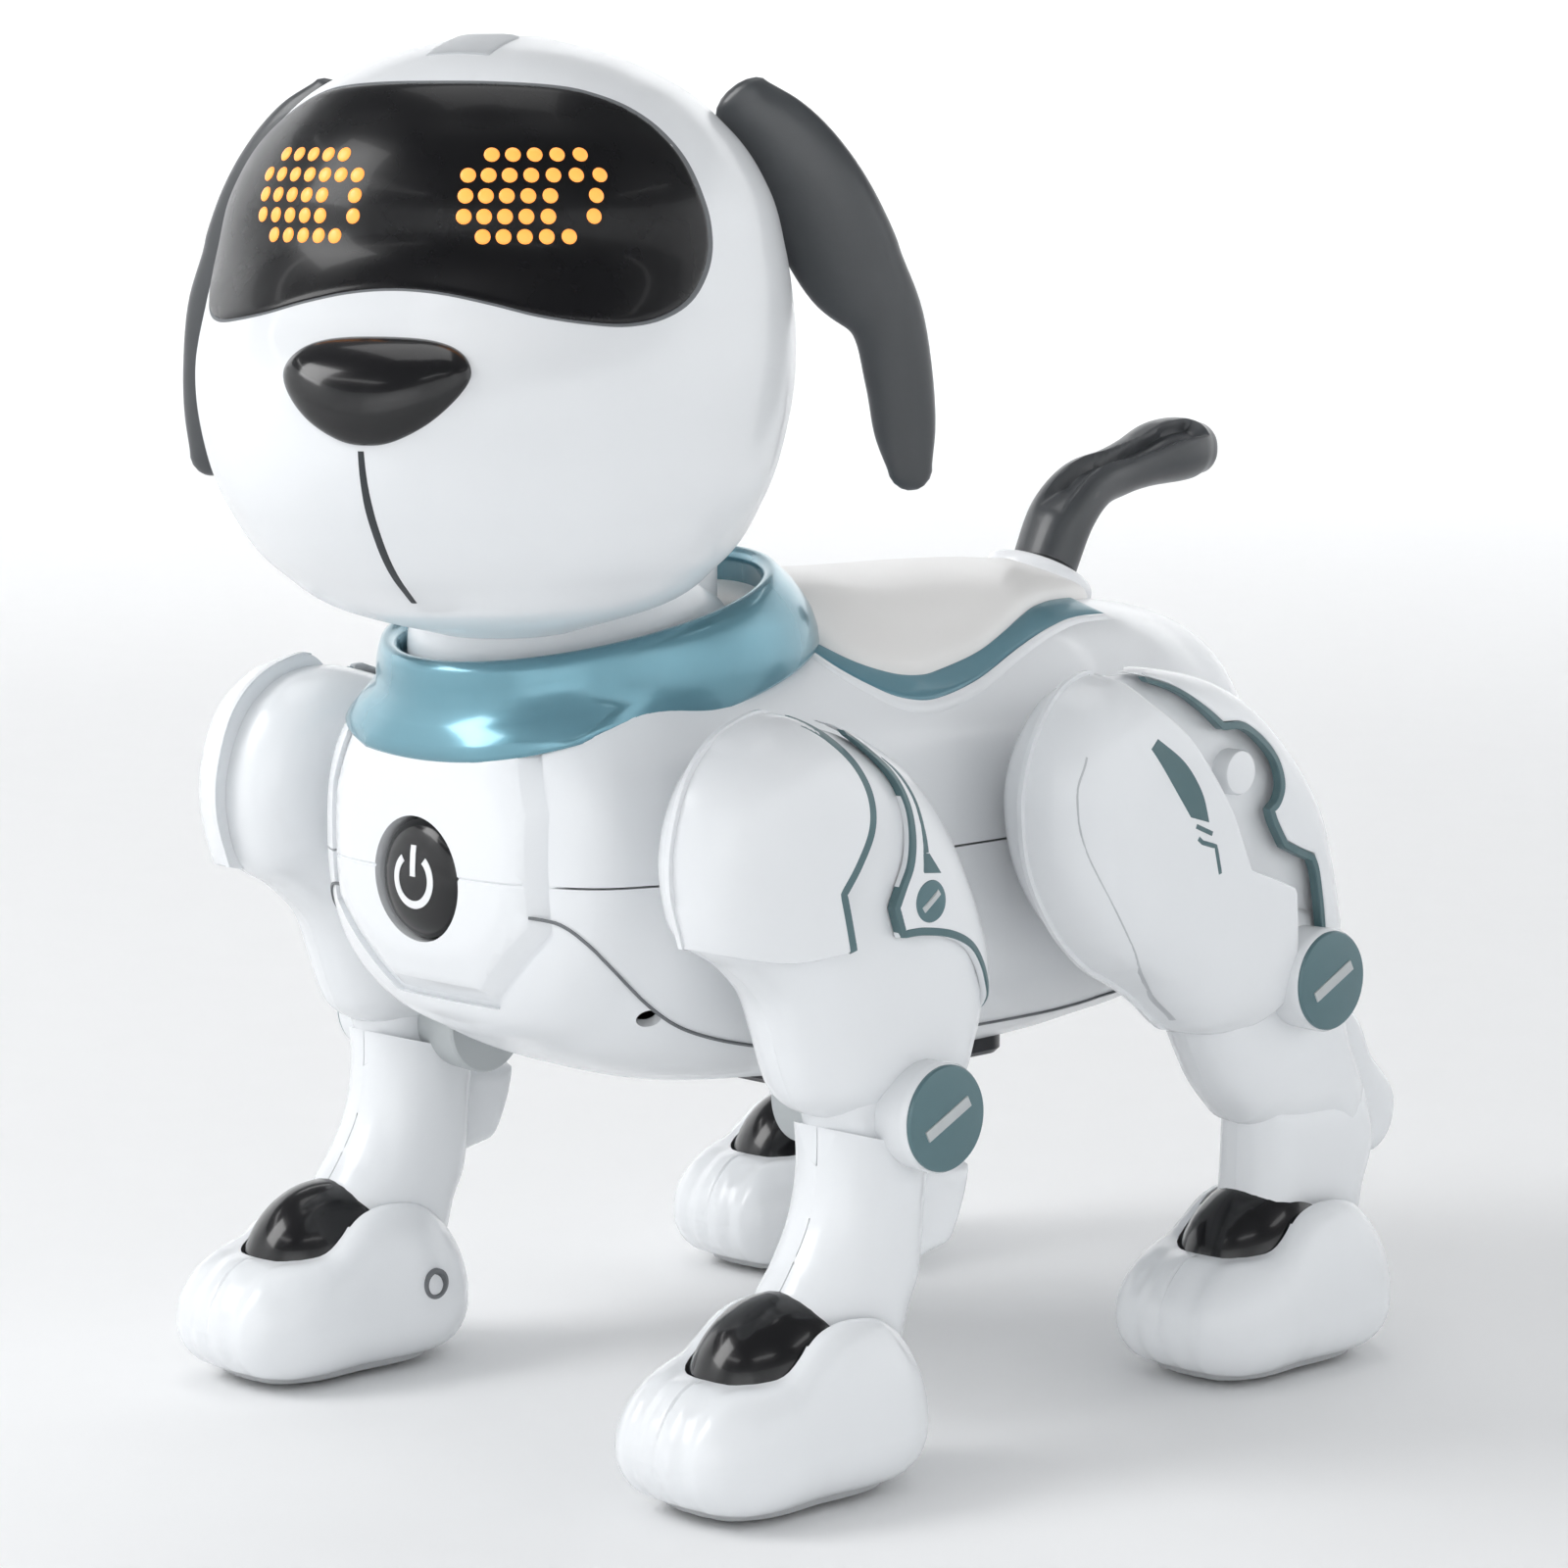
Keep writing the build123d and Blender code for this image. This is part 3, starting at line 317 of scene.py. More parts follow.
def dress(made, look, body, nodes=()):
    """Gives a piece its finish, its body and the CAD nodes that it stands for."""
    made.data.materials.append(look.look)
    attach(made, body)
    if nodes:
        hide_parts(*nodes)
    return made


def solid(name, verts, faces, look, body, nodes=(), crease=32):
    """A mesh object in millimetres that rides on a body."""
    mesh = mesh_of(name, verts, faces)
    with editing(mesh) as work:
        bmesh.ops.remove_doubles(work, verts=work.verts, dist=1e-6)
        bmesh.ops.dissolve_degenerate(work, edges=work.edges, dist=1e-7)
        loose = [v for v in work.verts if not v.link_faces]
        bmesh.ops.delete(work, geom=loose, context="VERTS")
        bmesh.ops.recalc_face_normals(work, faces=work.faces)
    smooth(mesh, crease)
    return dress(linked(name, mesh), look, body, nodes)


def relief(name, loop, top, bottom, place, look, body, nodes=(), spacing=2.2,
           rim=(0.25, 0.7, 1.4, 2.6, 4.2), lines=(), crease=32):
    """A closed solid over a plane loop between two heights: numbers, or functions of the plane points."""
    points, faces, border = flat_mesh(loop, spacing, rim, lines)
    n = len(points)
    upper, under = (place(points, level(points) if callable(level) else np.full(n, float(level)))
                    for level in (top, bottom))
    walls = []
    for a, b in zip(border, border[1:] + border[:1]):
        if a != b:
            walls.append([a, b, b + n, a + n])
    back = [[i + n for i in reversed(f)] for f in faces]
    return solid(name, np.concatenate([upper, under]), faces + back + walls, look, body, nodes, crease)


def bulge(distances, radius, power=2.2):
    t = np.clip(distances / radius, 0, 1)
    return (1 - (1 - t) ** power) ** (1 / power)


def skin(name, rings, look, body, nodes=(), caps=True, crease=40):
    """A closed surface through rings of points."""
    faces = ring_faces(len(rings), len(rings[0]), caps)
    return solid(name, np.concatenate(rings), faces, look, body, nodes, crease)


def dome(ring, centre, along, steps):
    """Rings that close a tube's end with a rounded cap."""
    return [centre + (ring - centre) * math.sqrt(1 - f * f) + along * f for f in steps]


def between(keys, values, at):
    """Smooth interpolation of a table, one row for each key."""
    keys, values, at = np.asarray(keys, float), np.asarray(values, float), np.atleast_1d(at)
    if values.ndim == 1:
        values = values[:, None]
    slope = np.gradient(values, keys, axis=0)
    i = np.clip(np.searchsorted(keys, at) - 1, 0, len(keys) - 2)
    width = (keys[i + 1] - keys[i])[:, None]
    s = (at[:, None] - keys[i][:, None]) / width
    return ((2 * s**3 - 3 * s**2 + 1) * values[i] + (s**3 - 2 * s**2 + s) * width * slope[i]
            + (3 * s**2 - 2 * s**3) * values[i + 1] + (s**3 - s**2) * width * slope[i + 1])


def smooth_3d(points, step=1.0):
    """A smooth open curve through space points."""
    p = np.array(points, float)
    out = []
    for i in range(len(p) - 1):
        a, b = p[i], p[i + 1]
        before = p[max(i - 1, 0)]
        after = p[min(i + 2, len(p) - 1)]
        count = max(2, int(np.linalg.norm(b - a) / step))
        s = (np.arange(count) / count)[:, None]
        out.append((2 * s**3 - 3 * s**2 + 1) * a + (s**3 - 2 * s**2 + s) * (b - before) / 2
                   + (3 * s**2 - 2 * s**3) * b + (s**3 - s**2) * (after - a) / 2)
    out.append(p[-1:])
    return np.concatenate(out)


def surface_tree(made):
    mesh = made.data
    return BVHTree.FromPolygons([v.co for v in mesh.vertices], [list(f.vertices) for f in mesh.polygons])


def along_path(width, count):
    """One width for each point of a path, from a number or a few values spread evenly along it."""
    if np.isscalar(width):
        return np.full(count, width)
    return np.interp(np.linspace(0, 1, count), np.linspace(0, 1, len(width)), width)


def strip(name, path, width, tree, look, body, lift=0.12, sunk=0.4, across=4):
    """A thin closed strip that follows a path on a surface; width is a number or one for each point."""
    path = smooth_3d(path)
    rings = []
    for p, w, ahead in zip(path, along_path(width, len(path)), np.gradient(path, axis=0)):
        spot, normal, _, _ = tree.find_nearest(Vector(p * MM))
        side = unit(np.cross(np.array(normal), ahead))
        base = np.array(spot) / MM
        upper, under = [], []
        for t in np.linspace(-1, 1, across + 1):
            near, n, _, _ = tree.find_nearest(Vector((base + side * w / 2 * t) * MM))
            near, n = np.array(near) / MM, np.array(n)
            upper.append(near + n * lift * (1 - 0.7 * abs(t) ** 3))
            under.append(near - n * sunk)
        rings.append(np.array(upper + under[::-1]))
    skin(name, rings, look, body)


def round_rings(origin, axis, profile, turns):
    """Rings about an axis from (along, radius) points."""
    axis = unit(axis)
    side = unit(np.cross(axis, (0, 0, 1) if abs(axis[2]) < 0.9 else (1, 0, 0)))
    c, s = circle(turns)
    spokes = np.outer(c, side) + np.outer(s, np.cross(axis, side))
    return [origin + axis * along + radius * spokes for along, radius in profile]


def lathe(name, origin, axis, profile, look, body, nodes=()):
    """A solid of revolution from (along, radius) points."""
    skin(name, round_rings(origin, axis, profile, 72), look, body, nodes, crease=35)


def carve(made, cutters):
    """Applies a piece's modifiers, cuts solids out of it and removes them."""
    for cutter in cutters:
        cut = made.modifiers.new("cut", "BOOLEAN")
        cut.operation = "DIFFERENCE"
        cut.solver = "EXACT"
        cut.object = cutter
    bpy.context.view_layer.update()
    graph = bpy.context.evaluated_depsgraph_get()
    mesh = bpy.data.meshes.new_from_object(made.evaluated_get(graph))
    made.modifiers.clear()
    old = made.data
    made.data = mesh
    bpy.data.meshes.remove(old)
    smooth(mesh, 32)
    for cutter in cutters:
        spare = cutter.data
        bpy.data.objects.remove(cutter)
        bpy.data.meshes.remove(spare)


def tool(name, rings):
    """A cutting solid through rings of points, in millimetres, that belongs to no body."""
    mesh = mesh_of(name, np.concatenate(rings), ring_faces(len(rings), len(rings[0])))
    with editing(mesh) as work:
        bmesh.ops.recalc_face_normals(work, faces=work.faces)
    return linked(name, mesh)


def rod_tool(name, start, end, radius):
    start = np.asarray(start, float)
    run = np.asarray(end, float) - start
    return tool(name, round_rings(start, run, [(0, radius), (np.linalg.norm(run), radius)], 40))


def box_tool(name, lo, hi):
    corners = ((lo[0], lo[1]), (hi[0], lo[1]), (hi[0], hi[1]), (lo[0], hi[1]))
    return tool(name, [[(x, y, z) for x, y in corners] for z in (lo[2], hi[2])])


def half_shell(name, verts, faces, spot, away, wall, body, node, cutters=()):
    """The part of a closed surface on one side of a plane, with a wall inside it, less the cutters."""
    mesh = mesh_of(name, verts, faces)
    with editing(mesh) as work:
        bmesh.ops.recalc_face_normals(work, faces=work.faces)
        bmesh.ops.bisect_plane(work, geom=work.verts[:] + work.edges[:] + work.faces[:], dist=1e-7,
                               plane_co=np.array(spot) * MM, plane_no=away, clear_outer=True)
    made = dress(linked(name, mesh), WHITE, body, (node,))
    thick = made.modifiers.new("wall", "SOLIDIFY")
    thick.thickness = wall * MM
    thick.offset = -1
    carve(made, cutters)
    return made


# ---- head ----------------------------------------------------------------------
TURN = math.radians(30.3)
AHEAD = np.array([math.sin(TURN), -math.cos(TURN), 0.0])
LEFT = np.array([math.cos(TURN), math.sin(TURN), 0.0])
UP = np.array([0.0, 0.0, 1.0])
HEAD = np.array([20.28, -92.71, 217.3])
# height, reach ahead, reach behind, half width
HEAD_TABLE = np.array([
    (-55, 15, 10, 12), (-50, 37, 25, 28.5), (-42, 55, 37, 40), (-30, 69, 45, 48), (-16, 75, 50, 52.5),
    (-4, 73, 52, 54), (6, 64, 51.5, 53.5), (16, 55.5, 50, 52), (27, 52, 46, 49), (38, 46, 40, 41.5),
    (47, 36, 29, 30), (52, 23, 17, 18), (54.7, 10, 5, 7)], float)
HEAD_SEAM = -14.0
PATCH_RADIUS = 50


def head_row(up):
    return between(HEAD_TABLE[:, 0], HEAD_TABLE[:, 1:], up)


def head_place(ahead, left, up):
    return HEAD + np.multiply.outer(ahead, AHEAD) + np.multiply.outer(left, LEFT) + np.multiply.outer(up, UP)


def head_surface(angle, up, lift=0.0):
    """Points of the head for an angle from straight ahead towards its left, in radians, and a height."""
    angle, up = np.asarray(angle, float), np.asarray(up, float)

    def raw(a, u):
        row = head_row(np.clip(u, HEAD_TABLE[0, 0], HEAD_TABLE[-1, 0]))
        reach = np.where(np.cos(a) > 0, row[:, 0], row[:, 1])
        return head_place(reach * np.cos(a), row[:, 2] * np.sin(a), u)

    across = raw(angle + 0.004, up) - raw(angle - 0.004, up)
    along = raw(angle, up + 0.2) - raw(angle, up - 0.2)
    normal = np.cross(across, along)
    normal /= np.linalg.norm(normal, axis=1)[:, None]
    return raw(angle, up) + normal * (np.zeros(len(up)) + lift)[:, None]


def head_shells():
    """Front and rear shells, parted behind the ears."""
    ups = np.concatenate([[-55, -54.4], np.linspace(-53.5, 53.8, 104), [54.4, 54.7]])
    angles = np.linspace(-math.pi, math.pi, 176, endpoint=False)
    verts = np.concatenate([head_surface(angles, np.full(len(angles), u)) for u in ups])
    faces = ring_faces(len(ups), len(angles))
    for name, node, sign in (("head_face_shell", "head_front_shell", 1),
                             ("head_back_shell", "head_rear_shell", -1)):
        spot = head_place(HEAD_SEAM + 0.2 * sign, 0, 0)
        half_shell(name, verts, faces, spot, AHEAD * -sign, 2.0, "head", node)


def head_patch(name, loop, lift, look, nodes=(), spacing=2.0, sunk=-1.0, **options):
    """A piece on the face. The loop is (left, up); lift is a function of the distance from its rim."""
    angle = np.arcsin(np.clip(loop[:, 0] / head_row(loop[:, 1])[:, 2], -0.999, 0.999))
    around = np.stack([PATCH_RADIUS * angle, loop[:, 1]], 1)

    def place(points, height):
        return head_surface(points[:, 0] / PATCH_RADIUS, points[:, 1], height)

    relief(name, around, lambda p: lift(distance(p, around)), sunk, place, look, "head", nodes, spacing,
           **options)


VISOR_HALF = [(0, 10.6), (8.3, 10.0), (16.9, 8.3), (24.7, 6.3), (32.2, 4.9), (37.6, 4.4), (41.9, 5.4),
              (44.9, 8.2), (46.2, 13.2), (46.0, 19), (44.6, 25), (41.2, 31.9), (36.8, 37.1), (31.1, 41.4),
              (25, 44), (19.2, 45.2), (9.9, 45.8), (0, 45.9)]
NOSE_HALF = [(0, 2.6), (9, 2.1), (14.5, 0.2), (17, -3.2), (15.6, -7), (11, -11.6), (5, -14.8), (0, -15.6)]
DOT_ROWS = (".XXXXX.", "XXXXXXX", "XXXXX.X", "XXXXX.X", ".XXXXX.")
DOT_PROFILE = ((-0.4, 1.38), (0.12, 1.38), (0.3, 1.2), (0.42, 0.85), (0.48, 0.4))
EYE_OFF, EYE_UP = 20.3, 26.3
DOT_ACROSS, DOT_UP = 3.4, 3.5


def mirrored(half):
    return half + [(-x, *rest) for x, *rest in half[-2:0:-1]]


def eye(side):
    """Round lamp dots standing on the visor."""
    verts, faces = [], []
    c, s = circle(20)
    for r, row in enumerate(DOT_ROWS):
        for k, lit in enumerate(row):
            if lit != "X":
                continue
            up = EYE_UP + (2 - r) * DOT_UP
            angle = math.asin((side * EYE_OFF + (k - 3) * DOT_ACROSS) / head_row(up)[0, 2])
            foot, spot, tip = (head_surface([angle], [up], lift)[0] for lift in (0.0, 0.42, 1.0))
            normal = unit(tip - foot)
            across = unit(np.cross(UP, normal))
            spokes = np.outer(c, across) + np.outer(s, np.cross(normal, across))
            faces += ring_faces(len(DOT_PROFILE), 20, start=len(verts))
            for height, radius in DOT_PROFILE:
                verts.extend(spot + normal * height + radius * spokes)
    return verts, faces


def face():
    visor = mirrored(VISOR_HALF)
    head_patch("visor_glass", curve(visor, 1.0), lambda d: 0.55 * bulge(d, 1.1) - 0.05, VISOR, ("visor",),
               spacing=1.8, rim=(0.2, 0.5, 0.9, 1.4))
    # painted shade: a thin grey ring just outside the visor for the shadow in its gap
    gap = curve([(x * 1.012, 26 + (u - 26) * 1.022) for x, u in visor], 1.0)
    head_patch("visor_gap", gap, lambda d: np.full(len(d), 0.05), GROOVE, spacing=4.0, rim=(0.4,))
    for side, label in ((1, "left"), (-1, "right")):
        verts, faces = eye(side)
        nodes = ("eye_lamps",) if side == 1 else ()
        solid(label + "_eye_dots", verts, faces, AMBER, "head", nodes, crease=60)
    head_patch("nose_cap", curve(mirrored(NOSE_HALF), 0.8), lambda d: 3.4 * bulge(d, 7.5, 2.0) - 0.3, BLACK,
               ("nose",), spacing=1.4, rim=(0.15, 0.4, 0.8, 1.5, 2.5), sunk=-2.0)


def head_details():
    """Mouth line and touch pad."""
    tree = surface_tree(bpy.data.objects["head_face_shell"])
    path = head_surface(np.full(9, -0.02), np.linspace(-16.5, -45, 9))
    strip("mouth_line", path, [1.1, 1.5, 1.5, 1.4, 1.1], tree, GROOVE_DARK, "head", lift=0.10)
    pad = curve([(-6, 8, 1), (6, 8, 1), (6, 26, 1), (-6, 26, 1)], 1.0)

    def top_of_head(p, height):
        found = []
        for (left, ahead), h in zip(p, height):
            start = head_place(ahead, left, 70.0)
            spot, normal, _, _ = tree.ray_cast(Vector(start * MM), Vector((0, 0, -1)))
            found.append(np.array(spot) / MM + np.array(normal) * h)
        return np.array(found)

    relief("touch_sensor", pad, lambda p: 0.35 * bulge(distance(p, pad), 0.8), -0.5, top_of_head, GREY,
           "head", ("touch_pad",), spacing=2.0, rim=(0.2, 0.5, 0.8))


# ---- ears and tail -------------------------------------------------------------
# ahead, out, up, half thickness, half width
EAR_TABLE = [(-20.0, 40.0, 43.0, 2.6, 6.0), (-20.5, 44.2, 37.5, 3.6, 8.8), (-21.5, 49.6, 30.5, 4.2, 10.2),
             (-22.5, 54.8, 22.3, 4.4, 10.6), (-24.0, 60.2, 12.0, 4.4, 10.0), (-25.3, 66.2, 3.0, 4.2, 7.2),
             (-26.5, 68.5, -8.5, 4.0, 6.5), (-27.5, 69.4, -18.0, 3.6, 5.9), (-28.0, 70.3, -25.0, 2.9, 4.3)]
# y, z, half width, half depth
TAIL_TABLE = [(77.9, 162.4, 7.2, 6.2), (83.2, 172.2, 7.6, 6.0), (90.5, 178.4, 7.2, 5.6),
              (99.5, 180.8, 6.7, 5.2), (107.0, 182.6, 7.2, 5.6), (115.0, 184.4, 8.6, 6.8),
              (121.0, 185.0, 8.6, 6.9), (125.0, 185.0, 7.4, 6.0)]


def table_rows(table, count):
    return between(np.arange(len(table)), np.array(table, float), np.linspace(0, len(table) - 1, count))


def ears():
    rows = table_rows(EAR_TABLE, 70)
    c, s = (squarish(v, 0.9) for v in circle(64))
    for side, label in ((1, "left"), (-1, "right")):
        centre = head_place(rows[:, 0], side * rows[:, 1], rows[:, 2])
        heading = np.gradient(centre, axis=0)
        rings = []
        for spot, run, row in zip(centre, heading, rows):
            run = unit(run)
            broad = unit(AHEAD - run * (AHEAD @ run))
            rings.append(spot + np.outer(c * row[3], broad) + np.outer(s * row[4], np.cross(run, broad)))
        steps = (0.3, 0.6, 0.85, 0.97)
        top = dome(rings[0], centre[0], unit(heading[0]) * -3.2, steps)
        tip = dome(rings[-1], centre[-1], unit(heading[-1]) * 4.5, steps)
        skin(label + "_ear_flap", top[::-1] + rings + tip, DARK, label + "_ear", (label + "_ear",), crease=60)


def tail():
    """Curled tail with a long trough on its upper left side."""
    rows = table_rows(TAIL_TABLE, 90)
    centre = np.stack([np.zeros(len(rows)), rows[:, 0], rows[:, 1]], 1)
    heading = np.gradient(centre, axis=0)
    share = np.linspace(0, 1, len(rows))
    lean = np.radians(np.interp(share, (0, 0.35, 0.6, 1), (80, 72, 52, 50)))
    depth = 3.1 * np.clip((share - 0.12) / 0.1, 0, 1) * np.clip((0.93 - share) / 0.07, 0, 1)
    angle = np.linspace(0, 2 * math.pi, 144, endpoint=False)
    broad = np.array([1.0, 0, 0])
    rings = []
    for i, run in enumerate(heading):
        thick = unit(np.cross(broad, run))
        thick *= math.copysign(1, thick[2])
        spokes = (np.outer(squarish(np.cos(angle), 0.9) * rows[i, 2], broad)
                  + np.outer(squarish(np.sin(angle), 0.85) * rows[i, 3], thick))
        off = np.arctan2(np.sin(angle - lean[i]), np.cos(angle - lean[i]))
        trough = depth[i] * np.clip((0.46 - abs(off)) / 0.1, 0, 1)
        length = np.linalg.norm(spokes, axis=1)
        rings.append(centre[i] + spokes * (1 - trough / length)[:, None])
    rings += dome(rings[-1], centre[-1], unit(heading[-1]) * 4.3, (0.25, 0.5, 0.7, 0.85, 0.95, 0.99))
    skin("tail_curl", rings, DARK, "tail", ("tail",), crease=50)


# ---- torso ---------------------------------------------------------------------
# y, half width, lowest, highest
TORSO_TABLE = np.array([
    (-97, 24, 99, 141), (-91, 36, 88, 149), (-78, 45, 79, 156), (-58, 49, 71, 160), (-25, 50, 66, 160),
    (15, 50, 65, 158), (55, 50, 66, 158), (85, 46, 71, 155), (104, 36, 82, 149), (113, 23, 98, 139)], float)
PARTING = 115.0
SQUARE = 2.5
HEXAGON = [(-13, 93), (13, 93), (28, 107), (28, 128), (21, 150), (-21, 150), (-28, 128), (-28, 107)]


def torso_row(y):
    """Half width, middle height and half height of the torso."""
    wide, lo, hi = between(TORSO_TABLE[:, 0], TORSO_TABLE[:, 1:], y).T
    return wide, (hi + lo) / 2, (hi - lo) / 2


def torso_top(x, y):
    """Height of the torso's upper surface."""
    wide, mid, half = torso_row(np.clip(y, TORSO_TABLE[0, 0], TORSO_TABLE[-1, 0]))
    return mid + half * (1 - np.clip(abs(x) / wide, 0, 0.999) ** SQUARE) ** (1 / SQUARE)


def grown(points, by):
    """A convex outline moved outwards."""
    p = np.array(points, float)
    centre = p.mean(0)
    return [tuple(q + unit(q - centre) * by) for q in p]


def torso():
    """Upper and lower shells; returns the whole torso's surface."""
    ys = np.concatenate([np.linspace(-97, -88, 18), np.linspace(-86, 100, 94), np.linspace(101, 113, 16)])
    px, pz = (squarish(v, 2 / SQUARE) for v in circle(192))

    def ring(y, row, share=1.0, bow=0.0):
        wide, mid, half = row
        return np.stack([wide * share * px, np.full(len(px), y + bow), mid + half * pz * share], 1)

    rows = list(zip(*torso_row(ys)))
    shares = (0.25, 0.5, 0.75, 0.93)
    rings = [ring(ys[0], rows[0], f, -1.6 * (1 - f ** 3)) for f in shares]
    rings += [ring(y, row) for y, row in zip(ys, rows)]
    rings += [ring(ys[-1], rows[-1], f, 1.6 * (1 - f ** 3)) for f in shares[::-1]]
    verts, faces = np.concatenate(rings), ring_faces(len(rings), len(px))
    for name, node, sign in (("torso_upper", "body_upper_shell", 1),
                             ("torso_lower", "body_lower_shell", -1)):
        cutters = [tool("channel", [[(x, y, z) for x, z in grown(HEXAGON, 4.2)] for y in (-120, -60)])]
        if sign < 0:
            for x in (-36, 36):
                cutters.append(rod_tool("hole", (x * 1.25, -76, 84), (x * 0.8, -70, 93), 2.4))
        else:
            neck_y = JOINTS["neck_turn"][1]
            cutters.append(rod_tool("throat", (0, neck_y, 130), (0, neck_y, 190), 30))
        spot = (0, 0, PARTING + 0.22 * sign)
        half_shell(name, verts, faces, spot, (0, 0, -sign), 2.2, "torso", node, cutters)
    return BVHTree.FromPolygons([Vector(v * MM) for v in verts], faces)


def chest(tree):
    """Six-sided panel with a bevelled edge in its channel, and the button's well."""
    hexagon, foot, wide = (curve([(*p, 1) for p in grown(HEXAGON, by)], 1.6) for by in (0, 2.6, 5.6))

    def place(points, height):
        found = []
        for (x, z), h in zip(points, height):
            spot, _, _, _ = tree.ray_cast(Vector((x * MM, -0.2, z * MM)), Vector((0, 1, 0)))
            found.append((x, (spot[1] / MM if spot else -88) - h, z))
        return np.array(found)

    def rise(points):
        d = distance(points, hexagon) * np.where(inside(points, hexagon), 1, -1)
        seam = 0.45 * np.clip(1 - abs(points[:, 1] - PARTING) / 0.45, 0, 1)
        return -1.5 + 2.0 * np.clip((d + 2.6) / 3.0, 0, 1) - seam

    seam = np.array([(x, PARTING) for x in np.linspace(-27, 27, 40)])
    edges = [(np.concatenate([loop, loop[:1]]), width) for loop, width in ((hexagon, 0.4), (foot, 0.3))]
    made = relief("chest_plate", wide, rise, -4.5, place, WHITE, "torso", ("chest_panel",), spacing=2.0,
                  rim=(0.5, 1.2), lines=(*edges, (seam, 0.45)), crease=30)
    x, _, z = (low("power_button") + high("power_button")) / 2
    carve(made, [tool("well", round_rings((x, -110, z), (0, 1, 0), [(0, 12.2), (30, 12.2)], 72))])


def button():
    """Domed key with a raised power sign."""
    lo, hi = low("power_button"), high("power_button")
    x, y, z = (lo[0] + hi[0]) / 2, lo[1], (lo[2] + hi[2]) / 2
    radius = (hi[0] - lo[0]) / 2
    crown = [(0.0, 0.3), (0.05, 2.5), (0.2, 5), (0.55, 7.6), (1.1, 9.4), (1.9, 10.7), (3.0, radius)]
    lathe("power_key", np.array([x, y, z]), (0, 1, 0), crown + [(9, radius), (10, radius - 0.6)], BLACK,
          "power_button", ("power_button",))
    deep, reach = zip(*crown)
    verts, faces = [], []
    arc = [(4.9 * math.sin(a), 4.9 * math.cos(a)) for a in np.radians(np.linspace(38, 322, 60))]
    stroke = [(0, h) for h in np.linspace(0.6, 6.6, 12)]
    for path in (np.array(arc), np.array(stroke)):
        run = np.gradient(path, axis=0)
        across = 0.75 * np.stack([-run[:, 1], run[:, 0]], 1) / np.hypot(run[:, 0], run[:, 1])[:, None]
        faces += ring_faces(len(path), 4, start=len(verts))
        for p, n in zip(path, across):
            for q, sunk in ((p + n, 0.3), (p + n, -0.14), (p - n, -0.14), (p - n, 0.3)):
                verts.append((x + q[0], y + np.interp(math.hypot(*q), reach, deep) + sunk, z + q[1]))
    solid("power_sign", verts, faces, MARK, "power_button")


# share of the band's height, how far in from its face, rise
COLLAR_PROFILE = ((0, 4.6, 0.2), (0, 1.2, -0.2), (0, 0.4, 0.3), (0.06, 0.0, 0), (0.2, -0.7, 0),
                  (0.4, -1.1, 0), (0.6, -1.0, 0), (0.8, -0.4, 0), (0.94, 0.4, 0), (1, 1.2, 0.6),
                  (1, 2.2, 1.0), (1, 3.2, 0.8), (1, 4.2, 0.0), (0.9, 4.9, 0), (0.6, 5.2, 0), (0.2, 5.2, 0),
                  (0, 4.6, 0.2))
# how far forward the band starts to follow the torso's front
COLLAR_WRAP = -66
# height, lean ahead, radius
NECK_TABLE = [(150, 0, 31.5), (151, 0, 32.3), (155, 0, 32.5), (158, 0.3, 32.3), (161, 1.5, 31.4),
              (164, 4.0, 30.0), (168, 8.5, 27.6), (172, 13.5, 25.4), (176, 18.5, 23.6), (181, 23.5, 22.0)]


def collar(tree):
    """Painted band round the neck's foot, rolled over at its lips and wrapped over the torso's front."""
    low_tilt, high_tilt = math.radians(14), math.radians(12.7)
    c, s = circle(180)

    def ring(part, inset, rise):
        tilt = low_tilt + (high_tilt - low_tilt) * part
        origin = np.array([0, -49.5 - 7 * part, 147.3 + 15.7 * part])
        along = np.array([0, math.cos(tilt), math.sin(tilt)])
        up = np.array([0, -math.sin(tilt), math.cos(tilt)])
        made = (origin + np.outer((41 - 2 * part - inset) * c, (1, 0, 0))
                + np.outer((45 - 3.5 * part - inset) * s, along) + up * rise)
        if part > 0.85:
            return made
        clear = 0.9 + 0.5 * bulge(part, 0.4) - 0.4 * inset
        for point in made:
            if point[1] > COLLAR_WRAP:
                continue
            spot, _, _, _ = tree.ray_cast(Vector((point[0] * MM, -0.2, point[2] * MM)), Vector((0, 1, 0)))
            if spot:
                share = np.clip((COLLAR_WRAP - point[1]) / 8, 0, 1)
                point[1] += min(0.0, spot[1] / MM - clear - point[1]) * share
        return made

    skin("collar_band", [ring(*row) for row in COLLAR_PROFILE], TEAL, "torso", ("neck_collar",), caps=False,
         crease=60)


def neck():
    """White throat, round about the neck's axis in the collar and leaning into the head above it."""
    c, s = circle(96)
    spokes = np.outer(c, AHEAD) + np.outer(s, LEFT)
    foot = np.array([0.0, JOINTS["neck_turn"][1], 0.0])
    rings = [foot + AHEAD * lean + UP * z + radius * spokes for z, lean, radius in NECK_TABLE]
    skin("neck_throat", rings, WHITE, "head", crease=60)


SADDLE = [(0, -25), (14, -24.5), (26, -21.5), (33.5, -16.5), (37, -8.5), (37.8, 0), (36.6, 8), (33.4, 22),
          (29.5, 33), (25.3, 42.4), (20.6, 52), (17, 61), (15, 70), (12, 78), (6.5, 84), (0, 86)]
BAND_EDGE = [(0, -28.5), (14, -28), (25, -25.5), (35, -21.6), (40.0, -14), (41.7, -6), (41.4, 2.5),
             (38.9, 16), (34.1, 32.5), (29.6, 47.2), (26.4, 58.3), (25.2, 69.5)]


